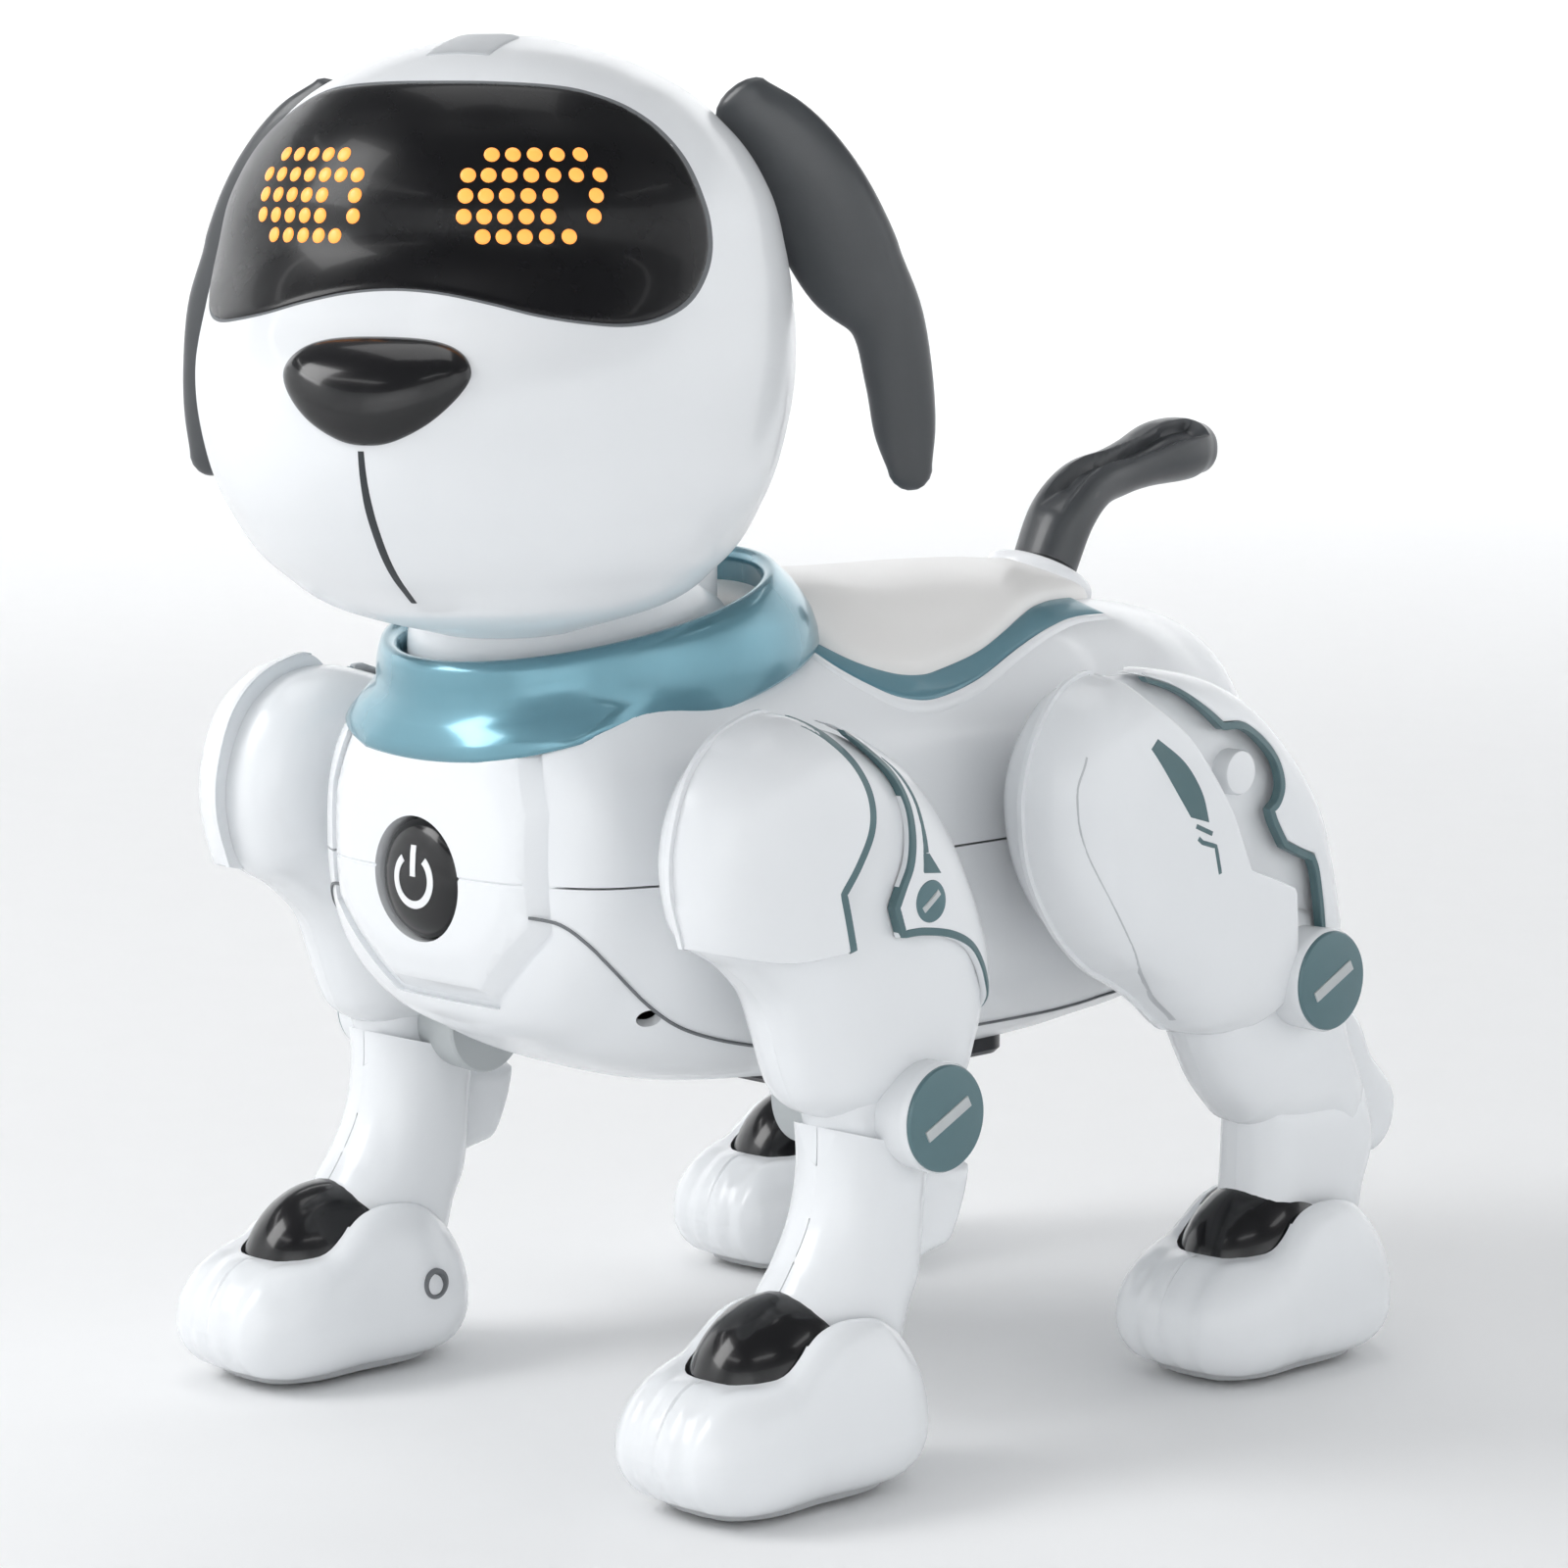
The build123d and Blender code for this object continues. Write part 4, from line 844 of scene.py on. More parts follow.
def saddle():
    """Back cover, the painted band round its front and sides, and the lip outside the band."""
    loop = curve(mirrored(SADDLE), 1.4)

    def place(points, height):
        return np.stack([points[:, 0], points[:, 1], height], 1)

    def over(base, *domes):
        """A height above the torso, with rounded steps of (rim, height, radius, power)."""
        return lambda p: torso_top(p[:, 0], p[:, 1]) + base + sum(
            high * bulge(distance(p, rim), radius, power) for rim, high, radius, power in domes)

    def both_sides(half):
        half = curve(half, 1.4, closed=False)
        return np.concatenate([(half[1:] * (-1, 1))[::-1], half])

    relief("saddle_cover", loop, over(0.6, (loop, 6.2, 26, 1.7), (loop, 1.0, 2.2, 2.2)), over(-1.5), place,
           WARM, "torso", ("back_cover",), spacing=2.4, rim=(0.3, 0.8, 1.6, 2.6, 4.0))
    outer = both_sides(BAND_EDGE)
    band = np.concatenate([outer, both_sides(SADDLE[:13])[::-1]])
    relief("saddle_band", band, over(0.35, (band, 0.25, 0.8, 2.2)), over(-1.0), place, BAND, "torso",
           ("back_trim",), spacing=1.6, rim=(0.25, 0.6))
    step = np.gradient(outer, axis=0)
    away = np.stack([step[:, 1], -step[:, 0]], 1) / np.hypot(step[:, 0], step[:, 1])[:, None]
    lip = np.concatenate([outer + away * 1.7, (outer + away * 0.15)[::-1]])
    relief("saddle_lip", lip, over(0.1, (lip, 0.75, 0.7, 2.2)), over(-1.0), place, WHITE, "torso",
           spacing=1.5, rim=(0.25, 0.5))


# ---- legs ----------------------------------------------------------------------
MID = 66.8
SHELL_GAP = 0.12


class Form:
    """A rounded slab on one side of a leg's middle plane: outline in (y, z), rounded in towards it."""

    def __init__(self, points, rise, radius, power=2.2, mid=MID, step=1.2):
        self.loop = curve(points, step)
        self.rise, self.radius, self.power, self.mid = rise, radius, power, mid

    def height(self, points):
        d = distance(points, self.loop) * np.where(inside(points, self.loop), 1, 0)
        return self.mid + self.rise * bulge(d, self.radius, self.power)


class Leg:
    """A leg's names, bodies and joints, and the pieces that every leg has."""

    def __init__(self, side, label):
        self.side, self.label = side, label
        self.upper, self.lower, self.foot = (label + end for end in ("_upper_leg", "_lower_leg", "_paw"))
        self.knee, self.ankle = JOINTS[label + "_knee"], JOINTS[label + "_ankle"]

    def name(self, piece):
        return self.label + "_" + piece

    def place(self, points, height):
        return np.stack([self.side * height, points[:, 0], points[:, 1]], 1)

    def relief(self, piece, loop, top, bottom, body, look=WHITE, node=None, **options):
        nodes = (self.name(node),) if node else ()
        relief(self.name(piece), loop, top, bottom, self.place, look, body, nodes, **options)

    def half(self, piece, form, body, node=None, loop=None, gap=SHELL_GAP, **options):
        """A half shell from the middle plane out to a form."""
        parting = MID + math.copysign(gap, form.rise)
        heights = (form.height, parting) if form.rise > 0 else (parting, form.height)
        self.relief(piece, form.loop if loop is None else loop, *heights, body, node=node, **options)

    def lens(self, piece, form, body, **options):
        """A piece rounded alike on both its sides."""
        self.relief(piece, form.loop, form.height, lambda p: 2 * form.mid - form.height(p), body, **options)

    def cover(self, piece, points, form):
        """The domed cover over the drive, with a rounded edge."""
        loop = curve(points, 1.0)

        def top(p):
            return np.maximum(form.height(p), MID) - 0.8 * (1 - bulge(distance(p, loop), 0.8))

        self.relief(piece, loop, top, MID + 0.3, self.upper, spacing=2.0, rim=(0.2, 0.5, 0.9, 2.0))

    def overlay(self, piece, loop, form, lift, base=0.0, look=WHITE, edge=0.6, spacing=2.2,
                rim=(0.2, 0.5, 1.2, 2.4)):
        """A piece that lies on a form, standing proud of it by lift, with a rounded edge."""
        self.relief(piece, loop, lambda p: form.height(p) + base + lift * bulge(distance(p, loop), edge),
                    lambda p: form.height(p) - 1.2, self.upper, look, spacing=spacing, rim=rim)

    def line(self, piece, path, width, form, look=STRIPE, base=0.0, lift=0.22):
        """A narrow painted line on a form."""
        line = curve(path, 0.9, closed=False)
        step = np.gradient(line, axis=0)
        across = np.stack([-step[:, 1], step[:, 0]], 1) / np.hypot(step[:, 0], step[:, 1])[:, None]
        half = across * along_path(width, len(line))[:, None] / 2
        loop = np.concatenate([line + half, (line - half)[::-1]])
        self.overlay(piece, loop, form, lift, base, look, edge=0.3, spacing=2.0, rim=(0.15,))

    def flash(self, piece, points, form, lift, base):
        """A small painted patch on a form."""
        self.overlay(piece, curve(points, 1.0), form, lift, base, STRIPE, edge=0.3, spacing=2.0, rim=(0.15,))

    def turned(self, piece, centre, profile, body, look=WHITE, node=None):
        """A turned piece across the leg, from (distance from the dog's middle, radius) points."""
        inwards = profile[0][0] > profile[-1][0]
        sense = -1 if inwards else 1
        nodes = (self.name(node),) if node else ()
        lathe(self.name(piece), np.array([0, *centre]), (self.side * sense, 0, 0),
              [(sense * x, radius) for x, radius in profile], look, body, nodes)

    def knee_disc(self):
        """White drum with a painted face and a slanting pale slot, and the grey plug on its inner end."""
        spot = self.knee[1:]
        self.turned("knee_drum", spot, [(72.5, 9.6), (73.2, 10.4), (81.6, 10.6), (83.0, 10.6), (83.5, 10.3),
                                        (83.5, 9.9)], self.upper, node="knee_cap")
        self.turned("knee_face", spot, [(82.6, 10.2), (83.9, 10.2), (84.3, 9.9), (84.45, 9.3), (84.45, 0.3)],
                    self.upper, DISC)
        tilt = math.radians(28)
        along = np.array([math.cos(tilt), math.sin(tilt)])
        across = np.array([-math.sin(tilt), math.cos(tilt)])
        rings = []
        for x, shrink in ((83.8, 0), (84.75, 0.15)):
            ring = []
            for a, b in ((-6.4, -1.0), (6.4, -1.5), (6.4, 1.0), (-6.4, 1.5)):
                corner = along * (a - math.copysign(shrink, a)) + across * (b - math.copysign(shrink, b))
                ring.append((self.side * x, *(spot + corner)))
            rings.append(np.array(ring))
        solid(self.name("knee_slot"), np.concatenate(rings), ring_faces(2, 4), LIGHT, self.upper)
        self.turned("knee_plug", spot, [(60.5, 9.6), (49.0, 10.1), (47.4, 10.1), (46.9, 9.7), (46.9, 3.1),
                                        (48.6, 2.7), (48.8, 0.2)], self.upper, LIGHT)
        self.turned("knee_screw", spot, [(50.0, 2.5), (48.7, 2.5), (48.4, 2.1), (48.35, 0.2)], self.upper,
                    STEEL)

    def barrel(self, grow=0.0):
        """Rings about the ankle's axis for its dome, or for the room round it."""
        half = [(off + grow, radius + grow) for off, radius in CAP]
        c, s = circle(96)
        rings = []
        for off, radius in [(-off, radius) for off, radius in half[::-1]] + half[1:]:
            rings.append(np.stack([np.full(len(c), self.side * (MID + off)), self.ankle[1] + radius * c,
                                   self.ankle[2] + radius * s], 1))
        return rings

    def paw(self):
        """Rounded foot with raised side lobes, toe hollows, a seam down its front and a grey sole."""
        loop = curve(mirrored(PAW_HALF), 1.1)
        cy = self.ankle[1] - PAW_AHEAD

        def top(p):
            x, y = abs(p[:, 0]), p[:, 1]
            crest = between(*zip(*PAW_CREST), y)[:, 0]
            crest = crest - 1.2 * np.exp(-((x - 7.0) / 2.6) ** 2) * np.clip((-14 - y) / 10, 0, 1)
            seam = np.clip((-17.5 - y) / 1.5, 0, 1) * np.clip(1 - x / 0.45, 0, 1)
            radius = np.interp(y, *zip(*PAW_ROUND))
            return PAW_WIDEST + (crest - PAW_WIDEST) * bulge(distance(p, loop), radius, 2.1) - 0.45 * seam

        def under(p):
            toe = np.interp(p[:, 1], [-30, -18, 30, 34], [1.6, 0.0, 0.0, 1.0])
            return PAW_WIDEST - (PAW_WIDEST - 2.6 - toe) * bulge(distance(p, loop), 7.5, 2.0)

        def place(p, height):
            return np.stack([self.side * (MID + p[:, 0]), cy + p[:, 1], height], 1)

        front = np.array([(0, y) for y in np.linspace(-29.2, -17.5, 14)])
        made = relief(self.name("paw"), loop, top, under, place, WHITE, self.foot, (self.name("foot"),),
                      spacing=1.4, rim=(0.12, 0.35, 0.8, 1.5, 2.6, 4.2), crease=50, lines=((front, 0.45),))
        slot = [[(self.side * (MID + off), self.ankle[1] + y, self.ankle[2] + z) for y, z in PAW_SLOT]
                for off in (-12.6, 12.4)]
        roller = low(self.name("roller")) - 0.7, high(self.name("roller")) + 0.7
        carve(made, [tool("hollow", self.barrel(0.55)), tool("slot", slot), box_tool("roller_well", *roller)])
        outline = curve([(x * 0.68, y * 0.72 + 0.5) for x, y in mirrored(PAW_HALF)], 1.6)
        sole = relief(self.name("sole"), outline, 3.4, lambda p: 2.2 - 0.9 * bulge(distance(p, outline), 1.2),
                      place, SOLE, self.foot, spacing=3.0, rim=(0.3, 0.8, 1.3))
        carve(sole, [box_tool("roller_opening", *roller)])
        well = [(48.7, 3.2), (47.0, 3.2), (46.65, 2.9), (46.65, 2.4), (47.5, 2.2), (47.8, 0.2)]
        # painted shade: a dark grey dished disc for the shadow in the screw's hole
        self.turned("paw_screw_well", (cy + 15.0, 18.5), well, self.foot, GROOVE)

    def ankle_and_paw(self):
        skin(self.name("ankle_dome"), self.barrel(), BLACK, self.lower, (self.name("ankle_cap"),), crease=35)
        self.paw()


# off the middle plane, radius
CAP = [(0, 19.5), (2.5, 19.25), (5, 18.4), (7, 17.2), (9, 15.4), (11, 12.9), (12.5, 10.2), (13.3, 7.6),
       (13.6, 5.0), (15.6, 4.8), (16.0, 4.4)]
PAW_AHEAD = 2.0
PAW_WIDEST = 12.5
PAW_HALF = [(0, -29.6), (3.5, -29.8), (6.6, -29.0), (10.5, -28.6), (15, -25.4), (18.4, -19), (19.7, -12),
            (19.4, -5), (19.1, 0), (19.5, 6), (19.8, 13), (18.9, 20.5), (15.5, 27), (9, 31.8), (0, 33.4)]
# along the foot, height of its crest
PAW_CREST = [(-32, 24.8), (-26, 25.8), (-18, 26.2), (-12, 26.5), (-8, 27.5), (-4, 30.4), (0, 33.6), (4, 35.0),
             (10, 35.2), (16, 34.2), (22, 31.5), (34, 27)]
# along the foot, how far in its edge is rounded
PAW_ROUND = [(-30, 15), (-24, 13), (-18, 9.5), (-12, 6.5), (-6, 5.6), (2, 6.0), (16, 7.5), (34, 12)]
# room behind the shin, from the ankle's axis
PAW_SLOT = [(-4, 0), (18, 0), (27, 1.5), (33, 6), (38, 14), (38, 30), (-4, 30)]

FRONT_FORM = [(-76, 148.5), (-84, 145), (-90, 138.5), (-93.9, 128), (-94.3, 118), (-91.5, 107.5), (-86, 97),
              (-76, 89), (-60, 84), (-30, 84), (-18.5, 88), (-17.2, 98), (-21, 110), (-29, 125), (-40, 137),
              (-54, 145), (-66, 148.6)]
FRONT_ARM = [(-75, 146), (-82, 142.8), (-87.6, 137), (-91.4, 128), (-92, 118), (-88.5, 107.5), (-80, 102),
             (-72.5, 95), (-69, 87), (-66.5, 80), (-63.5, 74.5), (-58, 71.5), (-48, 70), (-40, 69.5),
             (-30, 70.5), (-23, 74.5), (-20, 81), (-18, 88), (-18.4, 97), (-22.2, 109), (-30, 124),
             (-41, 136), (-54, 143.6), (-66, 146.6)]
FRONT_COVER = [(-74, 149.6), (-84, 146), (-91, 139), (-95, 128), (-95.3, 118), (-92.3, 107.6, 1),
               (-82, 105.4), (-75, 104.9), (-64, 105.4, 1), (-65.6, 112), (-66.8, 116.6, 1), (-62.5, 121.3),
               (-59.2, 127), (-58.6, 132.5), (-60.8, 139.5), (-65.5, 145.4), (-69, 148.6)]
FRONT_TONGUE = [(-57.5, 80), (-57, 68), (-53.5, 59), (-46, 54.5), (-38, 57), (-34.8, 66), (-34, 80)]
FRONT_STRIPE = [(-69, 147.9), (-65.2, 144.6), (-61.2, 139.6), (-59.0, 133.6), (-59.4, 127.4), (-62.6, 121.6),
                (-66.6, 116.6, 1), (-65.4, 112), (-63.9, 105.6)]
FRONT_PANEL = [(-57.4, 146.4, 1), (-53.3, 142.2), (-48.9, 137.2), (-46.7, 130.9), (-46.2, 124.8),
               (-46.9, 119.7), (-48.8, 115.8), (-50.6, 111.8, 1), (-48.7, 106.0, 1), (-42.9, 105.9),
               (-35.5, 104.4), (-29.5, 101.6), (-25.7, 97.4), (-23.2, 92.9), (-21.8, 88, 1), (-17.5, 88, 1),
               (-17.6, 98), (-21.6, 110), (-29.6, 124.5), (-40.4, 136.5), (-50, 143.4)]
PANEL_STRIPE = [(-56.4, 144.6), (-52.6, 141.2), (-48.1, 136.4), (-45.9, 130.9), (-45.4, 124.8),
                (-46.1, 119.5), (-48.0, 115.6), (-49.9, 111.8, 1), (-48.1, 106.7, 1), (-42.6, 106.6),
                (-35.1, 105.2), (-28.9, 102.3), (-25.0, 97.9), (-22.5, 93.2), (-21.0, 88.6)]
PANEL_DASH = [(-49.6, 139.8), (-46.0, 136.4), (-43.3, 131.3), (-42.2, 125.2), (-42.0, 121.0)]
PANEL_WEDGE = [(-42.9, 121.4, 1), (-41.0, 121.2, 1), (-37.6, 117.0, 1), (-43.0, 117.6, 1)]
FRONT_SHIN = [(-57.4, 69.5, 1), (-57.6, 62), (-59.4, 52.2), (-63.6, 44.5), (-68.2, 38.2, 1), (-62, 31.8),
              (-54, 27.5), (-44.5, 25.5, 1), (-39, 31.5), (-35, 38), (-33.8, 46), (-33.6, 54), (-32.6, 62, 1),
              (-36, 64.6), (-46, 66.4)]
FRONT_SHIN_FORM = [(-57.4, 90), (-57.6, 62), (-59.4, 52.2), (-63.6, 44.5), (-68.2, 38.2), (-69, 30),
                   (-62, 20), (-46, 15), (-41, 22), (-38, 31.5), (-35, 38), (-33.8, 46), (-33.2, 54),
                   (-31.5, 66), (-31, 90)]
CALF_FIN = [(-37, 58, 1), (-31, 59), (-18.6, 57.6, 1), (-20.6, 50), (-24.4, 42.6), (-29, 41, 1), (-37, 41)]
REAR_FORM = [(17, 148.6), (9, 145), (2.5, 136.5), (-0.4, 128), (-0.6, 121.5), (0.6, 114), (3.6, 106.5),
             (9.5, 98.2), (17.3, 91.2), (25.3, 86.8), (31.6, 83), (39, 77), (46, 72.6), (56, 71), (66, 70.5),
             (80, 71), (88, 78), (90.4, 89), (89.7, 96), (87.2, 106), (83.7, 116), (78.3, 124.3), (70, 133),
             (61.7, 139.6), (52, 144.6), (42, 147.6), (29.9, 149.2)]
REAR_COVER = [(18, 149.6), (8.5, 146.2), (1.5, 137), (-1.5, 128), (-1.7, 121.5), (-0.5, 113.6), (2.7, 106),
              (8.7, 97.4), (16.6, 90.3), (24.7, 85.8), (31, 82), (38, 76.4), (42, 74.4), (50, 73.4), (57, 74),
              (61.8, 76.4), (65.4, 80, 1), (65.9, 88.2), (65.7, 96.7), (65.2, 102.6, 1), (58.1, 105.4),
              (50.9, 108, 1), (48.4, 113.4), (45, 120.1), (41, 125.9), (34.8, 133.4), (30, 138.6),
              (24, 143.6)]
REAR_CORE = [(17, 147.4), (10, 143.8), (4, 136), (1.1, 128), (0.9, 121.5), (2.1, 114.6), (5, 107.4),
             (10.7, 99.2), (18.2, 92.5), (26, 88), (32.5, 84), (40, 78), (46.5, 73.8), (56, 72), (66, 71.5),
             (80, 72), (87, 78.6), (89.4, 89), (88.6, 96), (86.1, 105.6), (82.6, 115.4), (77.3, 123.4),
             (69.2, 132), (61, 138.5), (51.6, 143.5), (42, 146.4), (29.9, 148)]
REAR_RIM = [(24.8, 149, 1), (28.6, 148.0), (34.8, 145.5), (41.1, 141.5), (46, 137.9, 1), (52.9, 137.1),
            (59.4, 133.5), (63.8, 128.9), (65.2, 123.6), (64, 120.1), (61.9, 118.3, 1), (63.2, 116.0),
            (66.1, 111.8, 1), (70.8, 109.7), (74.9, 108.2, 1), (76.6, 104.4), (78.4, 95.6), (79.2, 88, 1),
            (90.2, 88, 1), (89.5, 96), (87, 106), (83.5, 116), (78.1, 124.2), (69.9, 132.9), (61.6, 139.5),
            (51.9, 144.5), (41.9, 147.5), (32, 149.2)]
RIM_STRIPE = [(27.5, 147.6), (34.8, 144.9), (41.1, 140.8), (45.8, 137.1, 1), (52.9, 136.4), (58.8, 132.9),
              (63.0, 128.5), (64.4, 123.6), (63.2, 120.1), (61.1, 118.6, 1), (62.4, 115.8), (65.6, 111.1, 1),
              (70.4, 109.0), (74.3, 107.5, 1), (75.9, 104.2), (77.6, 95.5), (78.4, 88.6)]
THIGH_FLASH = [(22.3, 137.0, 1), (20.0, 135.2, 1), (31.6, 120.6, 1), (37.2, 119.0, 1), (34.9, 125.3),
               (29.8, 131.6)]
THIGH_SLASHES = (((33.2, 118.7), (38.3, 116.6)),
                 ((33.9, 116.2), (35.2, 115.2, 1), (39.3, 114.0, 1), (40.8, 108.2)))
THIGH_SEAM = [(6.2, 134.5), (3.6, 126.8), (5.2, 116.7), (11.8, 105.6), (22.7, 92.0), (32.1, 83.5),
              (39.5, 77.4)]
REAR_SHIN = [(44, 82), (47.7, 73.6), (52.4, 65), (56.5, 58.8), (62.6, 52.6, 1), (69, 50.4), (75.4, 49.0),
             (84.5, 48.4, 1), (88.3, 44.6), (92.6, 42, 1), (96.2, 45.4), (99, 51), (100, 56.5), (97, 63),
             (94, 70), (92, 80), (86, 94), (72, 100), (56, 96)]
REAR_FIN = [(90, 76), (97, 74.5), (103, 69), (107, 61.6), (113.2, 55), (115.4, 49.8), (114.4, 44.4),
            (111, 40.4), (107, 39.2), (101, 42), (95, 50), (92, 60)]
REAR_SHANK = [(65.4, 58, 1), (65.0, 48), (64.4, 38), (63, 30), (72, 22), (86, 20), (97.4, 26), (100.4, 34.5),
              (103, 41), (103.4, 47), (100, 58, 1)]


def front_leg(leg):
    leg.half("arm_outer", Form(FRONT_ARM, 11.4, 13), leg.upper, "upper_outer", spacing=2.4)
    leg.half("arm_inner", Form(FRONT_ARM, -13.3, 12), leg.upper, "upper_inner", spacing=2.4)
    cover = Form(FRONT_FORM, 16.2, 19, 2.3)
    leg.cover("shoulder_cover", FRONT_COVER, cover)
    leg.line("cover_stripe", FRONT_STRIPE, 1.9, cover, base=-0.12)
    panel = Form(FRONT_FORM, 12.9, 17, 2.3)
    proud = 0.62
    leg.overlay("shoulder_panel", curve(FRONT_PANEL, 1.0), panel, 0.7)
    leg.line("panel_stripe", PANEL_STRIPE, [1.1, 1.4, 1.5, 1.6, 1.6, 1.6, 1.5, 1.4, 1.1], panel, base=proud)
    leg.line("panel_dash", PANEL_DASH, [0.35, 0.9, 1.0, 1.1, 1.7], panel, base=proud)
    leg.flash("panel_wedge", PANEL_WEDGE, panel, 0.22, proud)
    c, s = circle(40)
    dot = np.stack([-40.9 + 4.1 * c, 112.1 + 4.1 * s], 1)
    leg.overlay("panel_dot", dot, panel, 0.3, proud, DISC, edge=0.4, spacing=1.4, rim=(0.2, 0.5))
    leg.line("panel_dot_slot", [(-43.1, 110.6), (-38.8, 113.7)], 1.3, panel, LIGHT, base=0.95)
    leg.lens("arm_tongue", Form(FRONT_TONGUE, 8.6, 8), leg.upper, spacing=2.4)
    leg.knee_disc()
    shin = curve(FRONT_SHIN, 1.0)
    leg.half("shin_outer", Form(FRONT_SHIN_FORM, 11.0, 12.5), leg.lower, "shin", shin, spacing=2.0)
    leg.half("shin_inner", Form(FRONT_SHIN_FORM, -12.4, 12.5), leg.lower, None, shin, spacing=2.0)
    leg.lens("calf_fin", Form(CALF_FIN, 5.0, 3, 2, step=1.0), leg.lower, spacing=2.0)
    leg.ankle_and_paw()


def rear_leg(leg):
    leg.half("thigh_outer", Form(REAR_CORE, 7.2, 12), leg.upper, "upper_outer", spacing=2.4)
    leg.half("thigh_inner", Form(REAR_CORE, -13.3, 12), leg.upper, "upper_inner", spacing=2.4)
    cover = Form(REAR_FORM, 15.0, 19)
    leg.cover("thigh_cover", REAR_COVER, cover)
    rim = Form(REAR_FORM, 10.6, 12)
    leg.overlay("thigh_rim", curve(REAR_RIM, 1.0), rim, 0.7)
    leg.line("rim_stripe", RIM_STRIPE, [0.9, 1.3, 1.6, 1.6, 1.6, 1.6, 1.6, 1.4, 1.2], rim, base=0.62)
    leg.turned("channel_boss", (51.5, 127.2), [(70, 4.6), (77.2, 4.6), (77.8, 4.3), (78.0, 3.8), (78.0, 0.2)],
               leg.upper)
    leg.flash("thigh_flash", THIGH_FLASH, cover, 0.2, 0.0)
    for k, path in enumerate(THIGH_SLASHES):
        leg.line("thigh_slash_" + str(k), path, 1.0, cover, base=-0.02)
    # painted shade: a thin grey strip for the shade in the thigh cover's parting line
    leg.line("thigh_seam", THIGH_SEAM, 0.3, cover, GREY, base=-0.04, lift=0.1)
    leg.knee_disc()
    leg.half("shin_outer", Form(REAR_SHIN, 9.5, 10), leg.lower, "shin")
    leg.half("shin_inner", Form(REAR_SHIN, -11.2, 10), leg.lower)
    leg.lens("shin_fin", Form(REAR_FIN, 4.5, 3.5, 2, MID - 1.5, 1.0), leg.lower, spacing=2.0)
    leg.half("shank_outer", Form(REAR_SHANK, 9.0, 9.0), leg.lower, gap=0.1)
    leg.half("shank_inner", Form(REAR_SHANK, -9.0, 9.0), leg.lower, gap=0.1)
    leg.ankle_and_paw()


# ---- build ---------------------------------------------------------------------
head_shells()
face()
head_details()
ears()
tail()
torso_tree = torso()
chest(torso_tree)
button()
collar(torso_tree)
neck()
saddle()
BELLY_SEAM = [(27.7, -94.6, 109), (33.5, -91.9, 108), (37.4, -88.6, 104.4), (39.1, -84.1, 99.5),
              (39.2, -75.7, 91.9), (38.3, -64.6, 85.2), (38.1, -51.6, 80.9), (37.5, -30, 76), (37, 0, 73.4),
              (37, 40, 73.6), (34, 80, 78)]
for side, hand in ((1, "left"), (-1, "right")):
    front_leg(Leg(side, hand + "_front"))
    rear_leg(Leg(side, hand + "_rear"))
for side, hand in ((1, "left"), (-1, "right")):
    seam_path = [(side * x, y, z) for x, y, z in BELLY_SEAM]
    # painted shade: grey strips along the belly for the shadow in the shells' parting line
    strip(hand + "_belly_seam", seam_path, 0.55, torso_tree, SEAM, "torso", lift=0.05)

looks = {made.slot: made.look for made in CAD_FINISHES}
for row in frame["record"]["materials"]:
    for node in row.get("nodes", []):
        mesh = frame["nodes"][node].data
        mesh.materials.clear()
        mesh.materials.append(looks[row["slot"]])


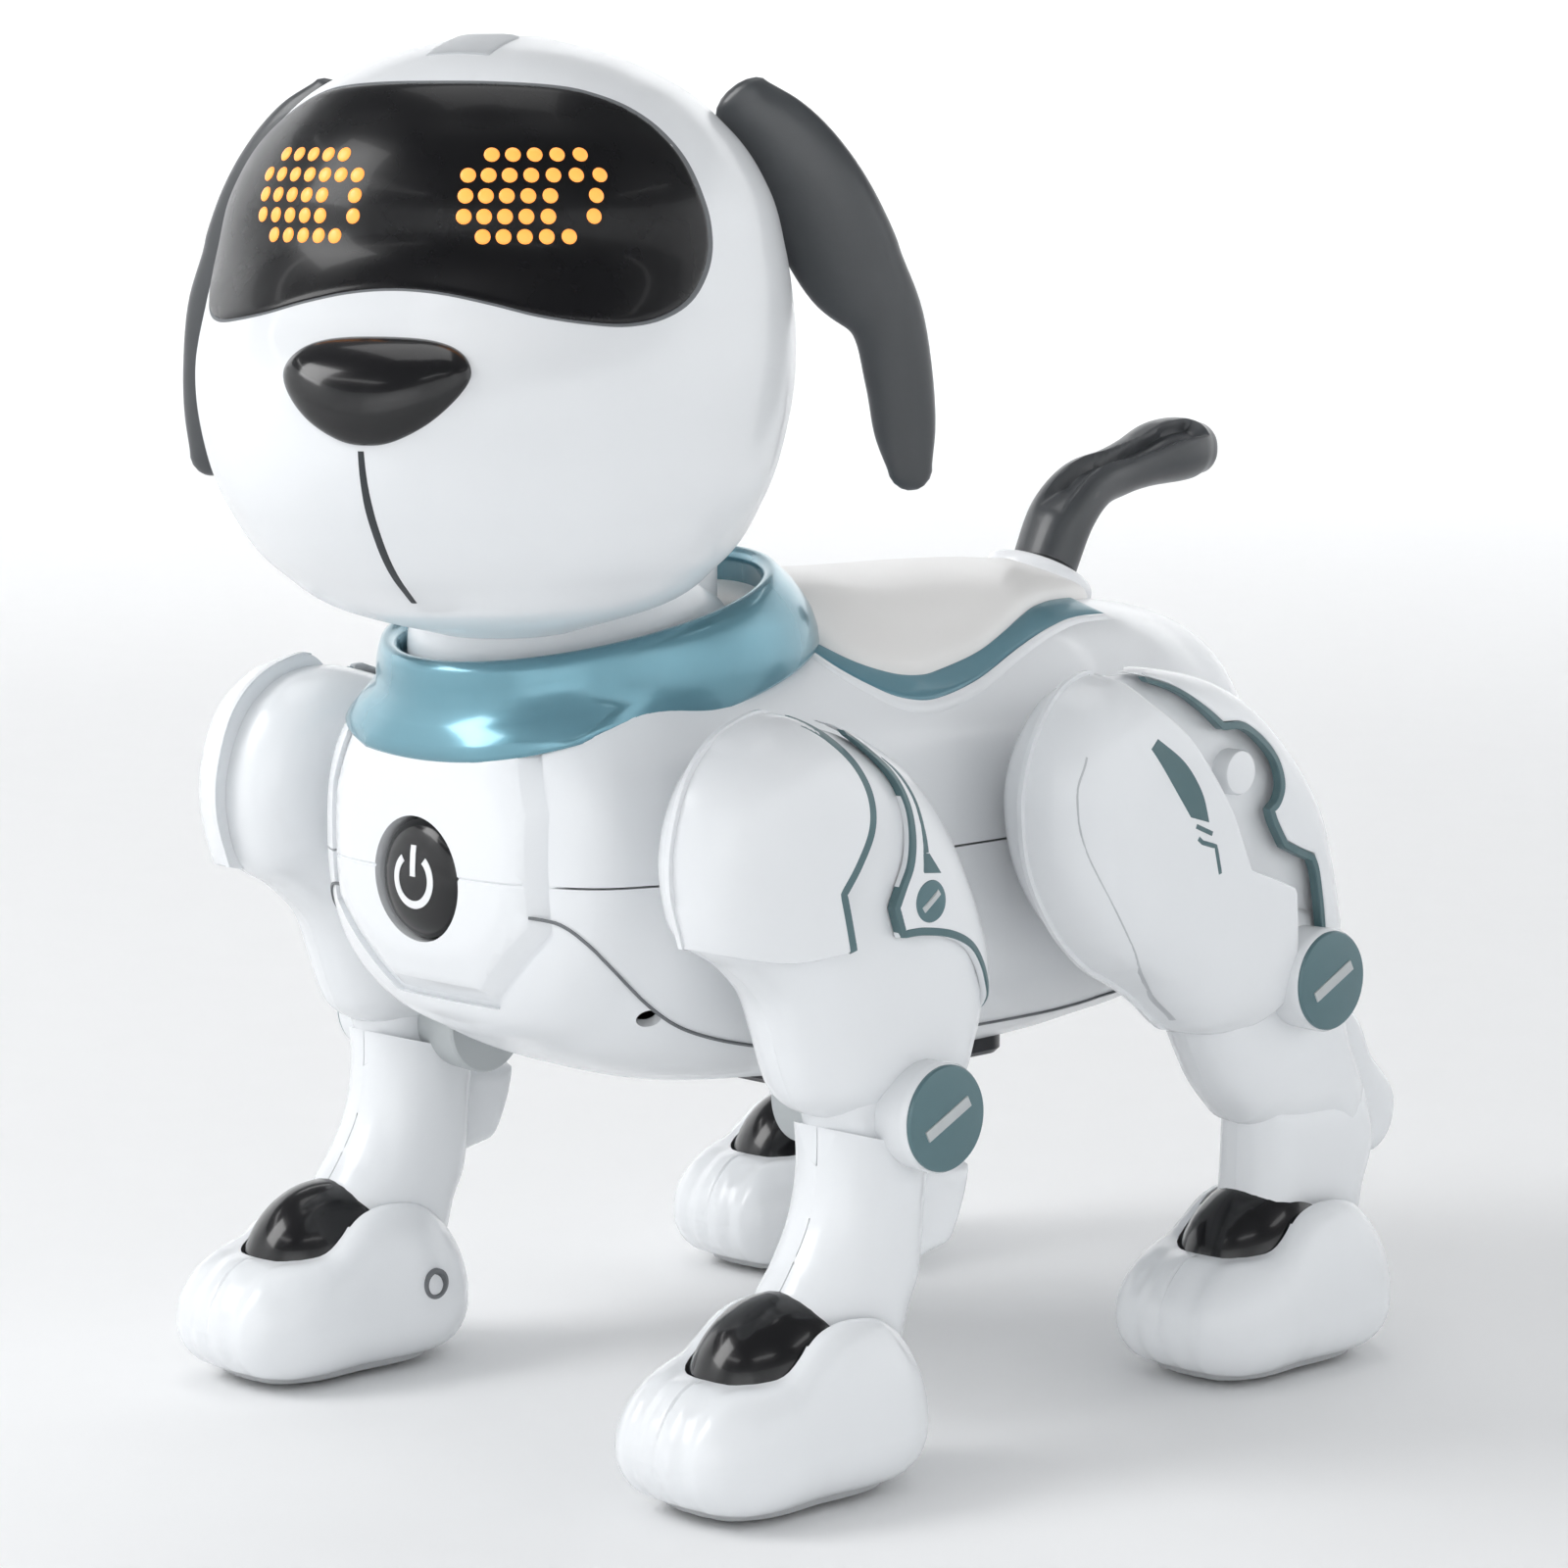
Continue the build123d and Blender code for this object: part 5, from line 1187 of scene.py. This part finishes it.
# ---- stage, light and camera -----------------------------------------------------
def stage():
    """Round floor that rises into a wall far behind the toy, all of one pale paper."""
    flat, rise, bend, tall, around = 3.2, 1.4, 24, 2.6, 96
    profile = [(0.02, 0), (0.5, 0), (1.2, 0), (2.2, 0)]
    for k in range(bend + 1):
        turn = math.pi / 2 * k / bend
        profile.append((flat + rise * math.sin(turn), rise * (1 - math.cos(turn))))
    profile.append((flat + rise, tall))
    c, s = circle(around)
    verts = np.concatenate([np.stack([radius * c, radius * s, np.full(around, height)], 1)
                            for radius, height in profile])
    faces = ring_faces(len(profile), around, caps=False) + [list(range(around))[::-1]]
    mesh = mesh_of("floor", verts / MM, faces)
    mesh.shade_smooth()
    mesh.materials.append(material("floor_paper", (0.93, 0.935, 0.94), rough=0.8, spread=0.003, wear=0.0,
                                   grain=0.0, specular=0.1))
    linked("floor", mesh)
    world = bpy.data.worlds.new("studio")
    bpy.context.scene.world = world
    world.use_nodes = True
    world.node_tree.nodes["Background"].inputs["Color"].default_value = (0.95, 0.97, 1.0, 1)
    world.node_tree.nodes["Background"].inputs["Strength"].default_value = 0.24
    bpy.context.scene.view_settings.view_transform = "Standard"


def light(name, spot, power, size, target=(0, -0.02, 0.13)):
    lamp = bpy.data.lights.new(name, "AREA")
    lamp.shape = "RECTANGLE"
    lamp.size, lamp.size_y = size
    lamp.energy = power
    made = linked(name, lamp)
    made.location = spot
    made.rotation_euler = (Vector(target) - Vector(spot)).to_track_quat("-Z", "Y").to_euler()


def lights():
    """Key, fill and top light on the toy, and rings of lights that wash the wall and the floor."""
    light("key", (-0.75, -1.25, 1.25), 13.0, (0.8, 0.8))
    light("front_fill", (0.9, -1.5, 0.5), 0.9, (1.2, 0.7))
    light("top", (-0.2, 0.1, 1.7), 4.6, (1.0, 1.0))
    for turn in range(0, 360, 60):
        c, s = math.cos(math.radians(turn)), math.sin(math.radians(turn))
        light("wall_" + str(turn), (3.0 * c, 3.0 * s, 2.3), 34, (1.6, 0.8), (4.6 * c, 4.6 * s, 0.9))
    for turn in range(30, 390, 60):
        c, s = math.cos(math.radians(turn)), math.sin(math.radians(turn))
        light("wash_" + str(turn), (1.7 * c, 1.7 * s, 1.5), 7.0, (0.9, 0.9), (2.7 * c, 2.7 * s, 0.0))


def camera():
    azimuth, elevation = math.radians(45.54), math.radians(8.0)
    target = np.array([0, 0, 0.135])
    right = np.array([math.cos(azimuth), math.sin(azimuth), 0])
    back = np.array([math.sin(azimuth) * math.cos(elevation), -math.cos(azimuth) * math.cos(elevation),
                     math.sin(elevation)])
    up = np.cross(back, right)
    lens = bpy.data.cameras.new("camera")
    lens.lens = 108.67
    lens.sensor_width = 36
    lens.clip_start = 0.01
    made = linked("camera", lens)
    made.location = target + back * 0.9672 - right * 0.00041 - up * 0.01271
    made.rotation_euler = Vector(-back).to_track_quat("-Z", "Y").to_euler()
    bpy.context.scene.camera = made


stage()
lights()
camera()
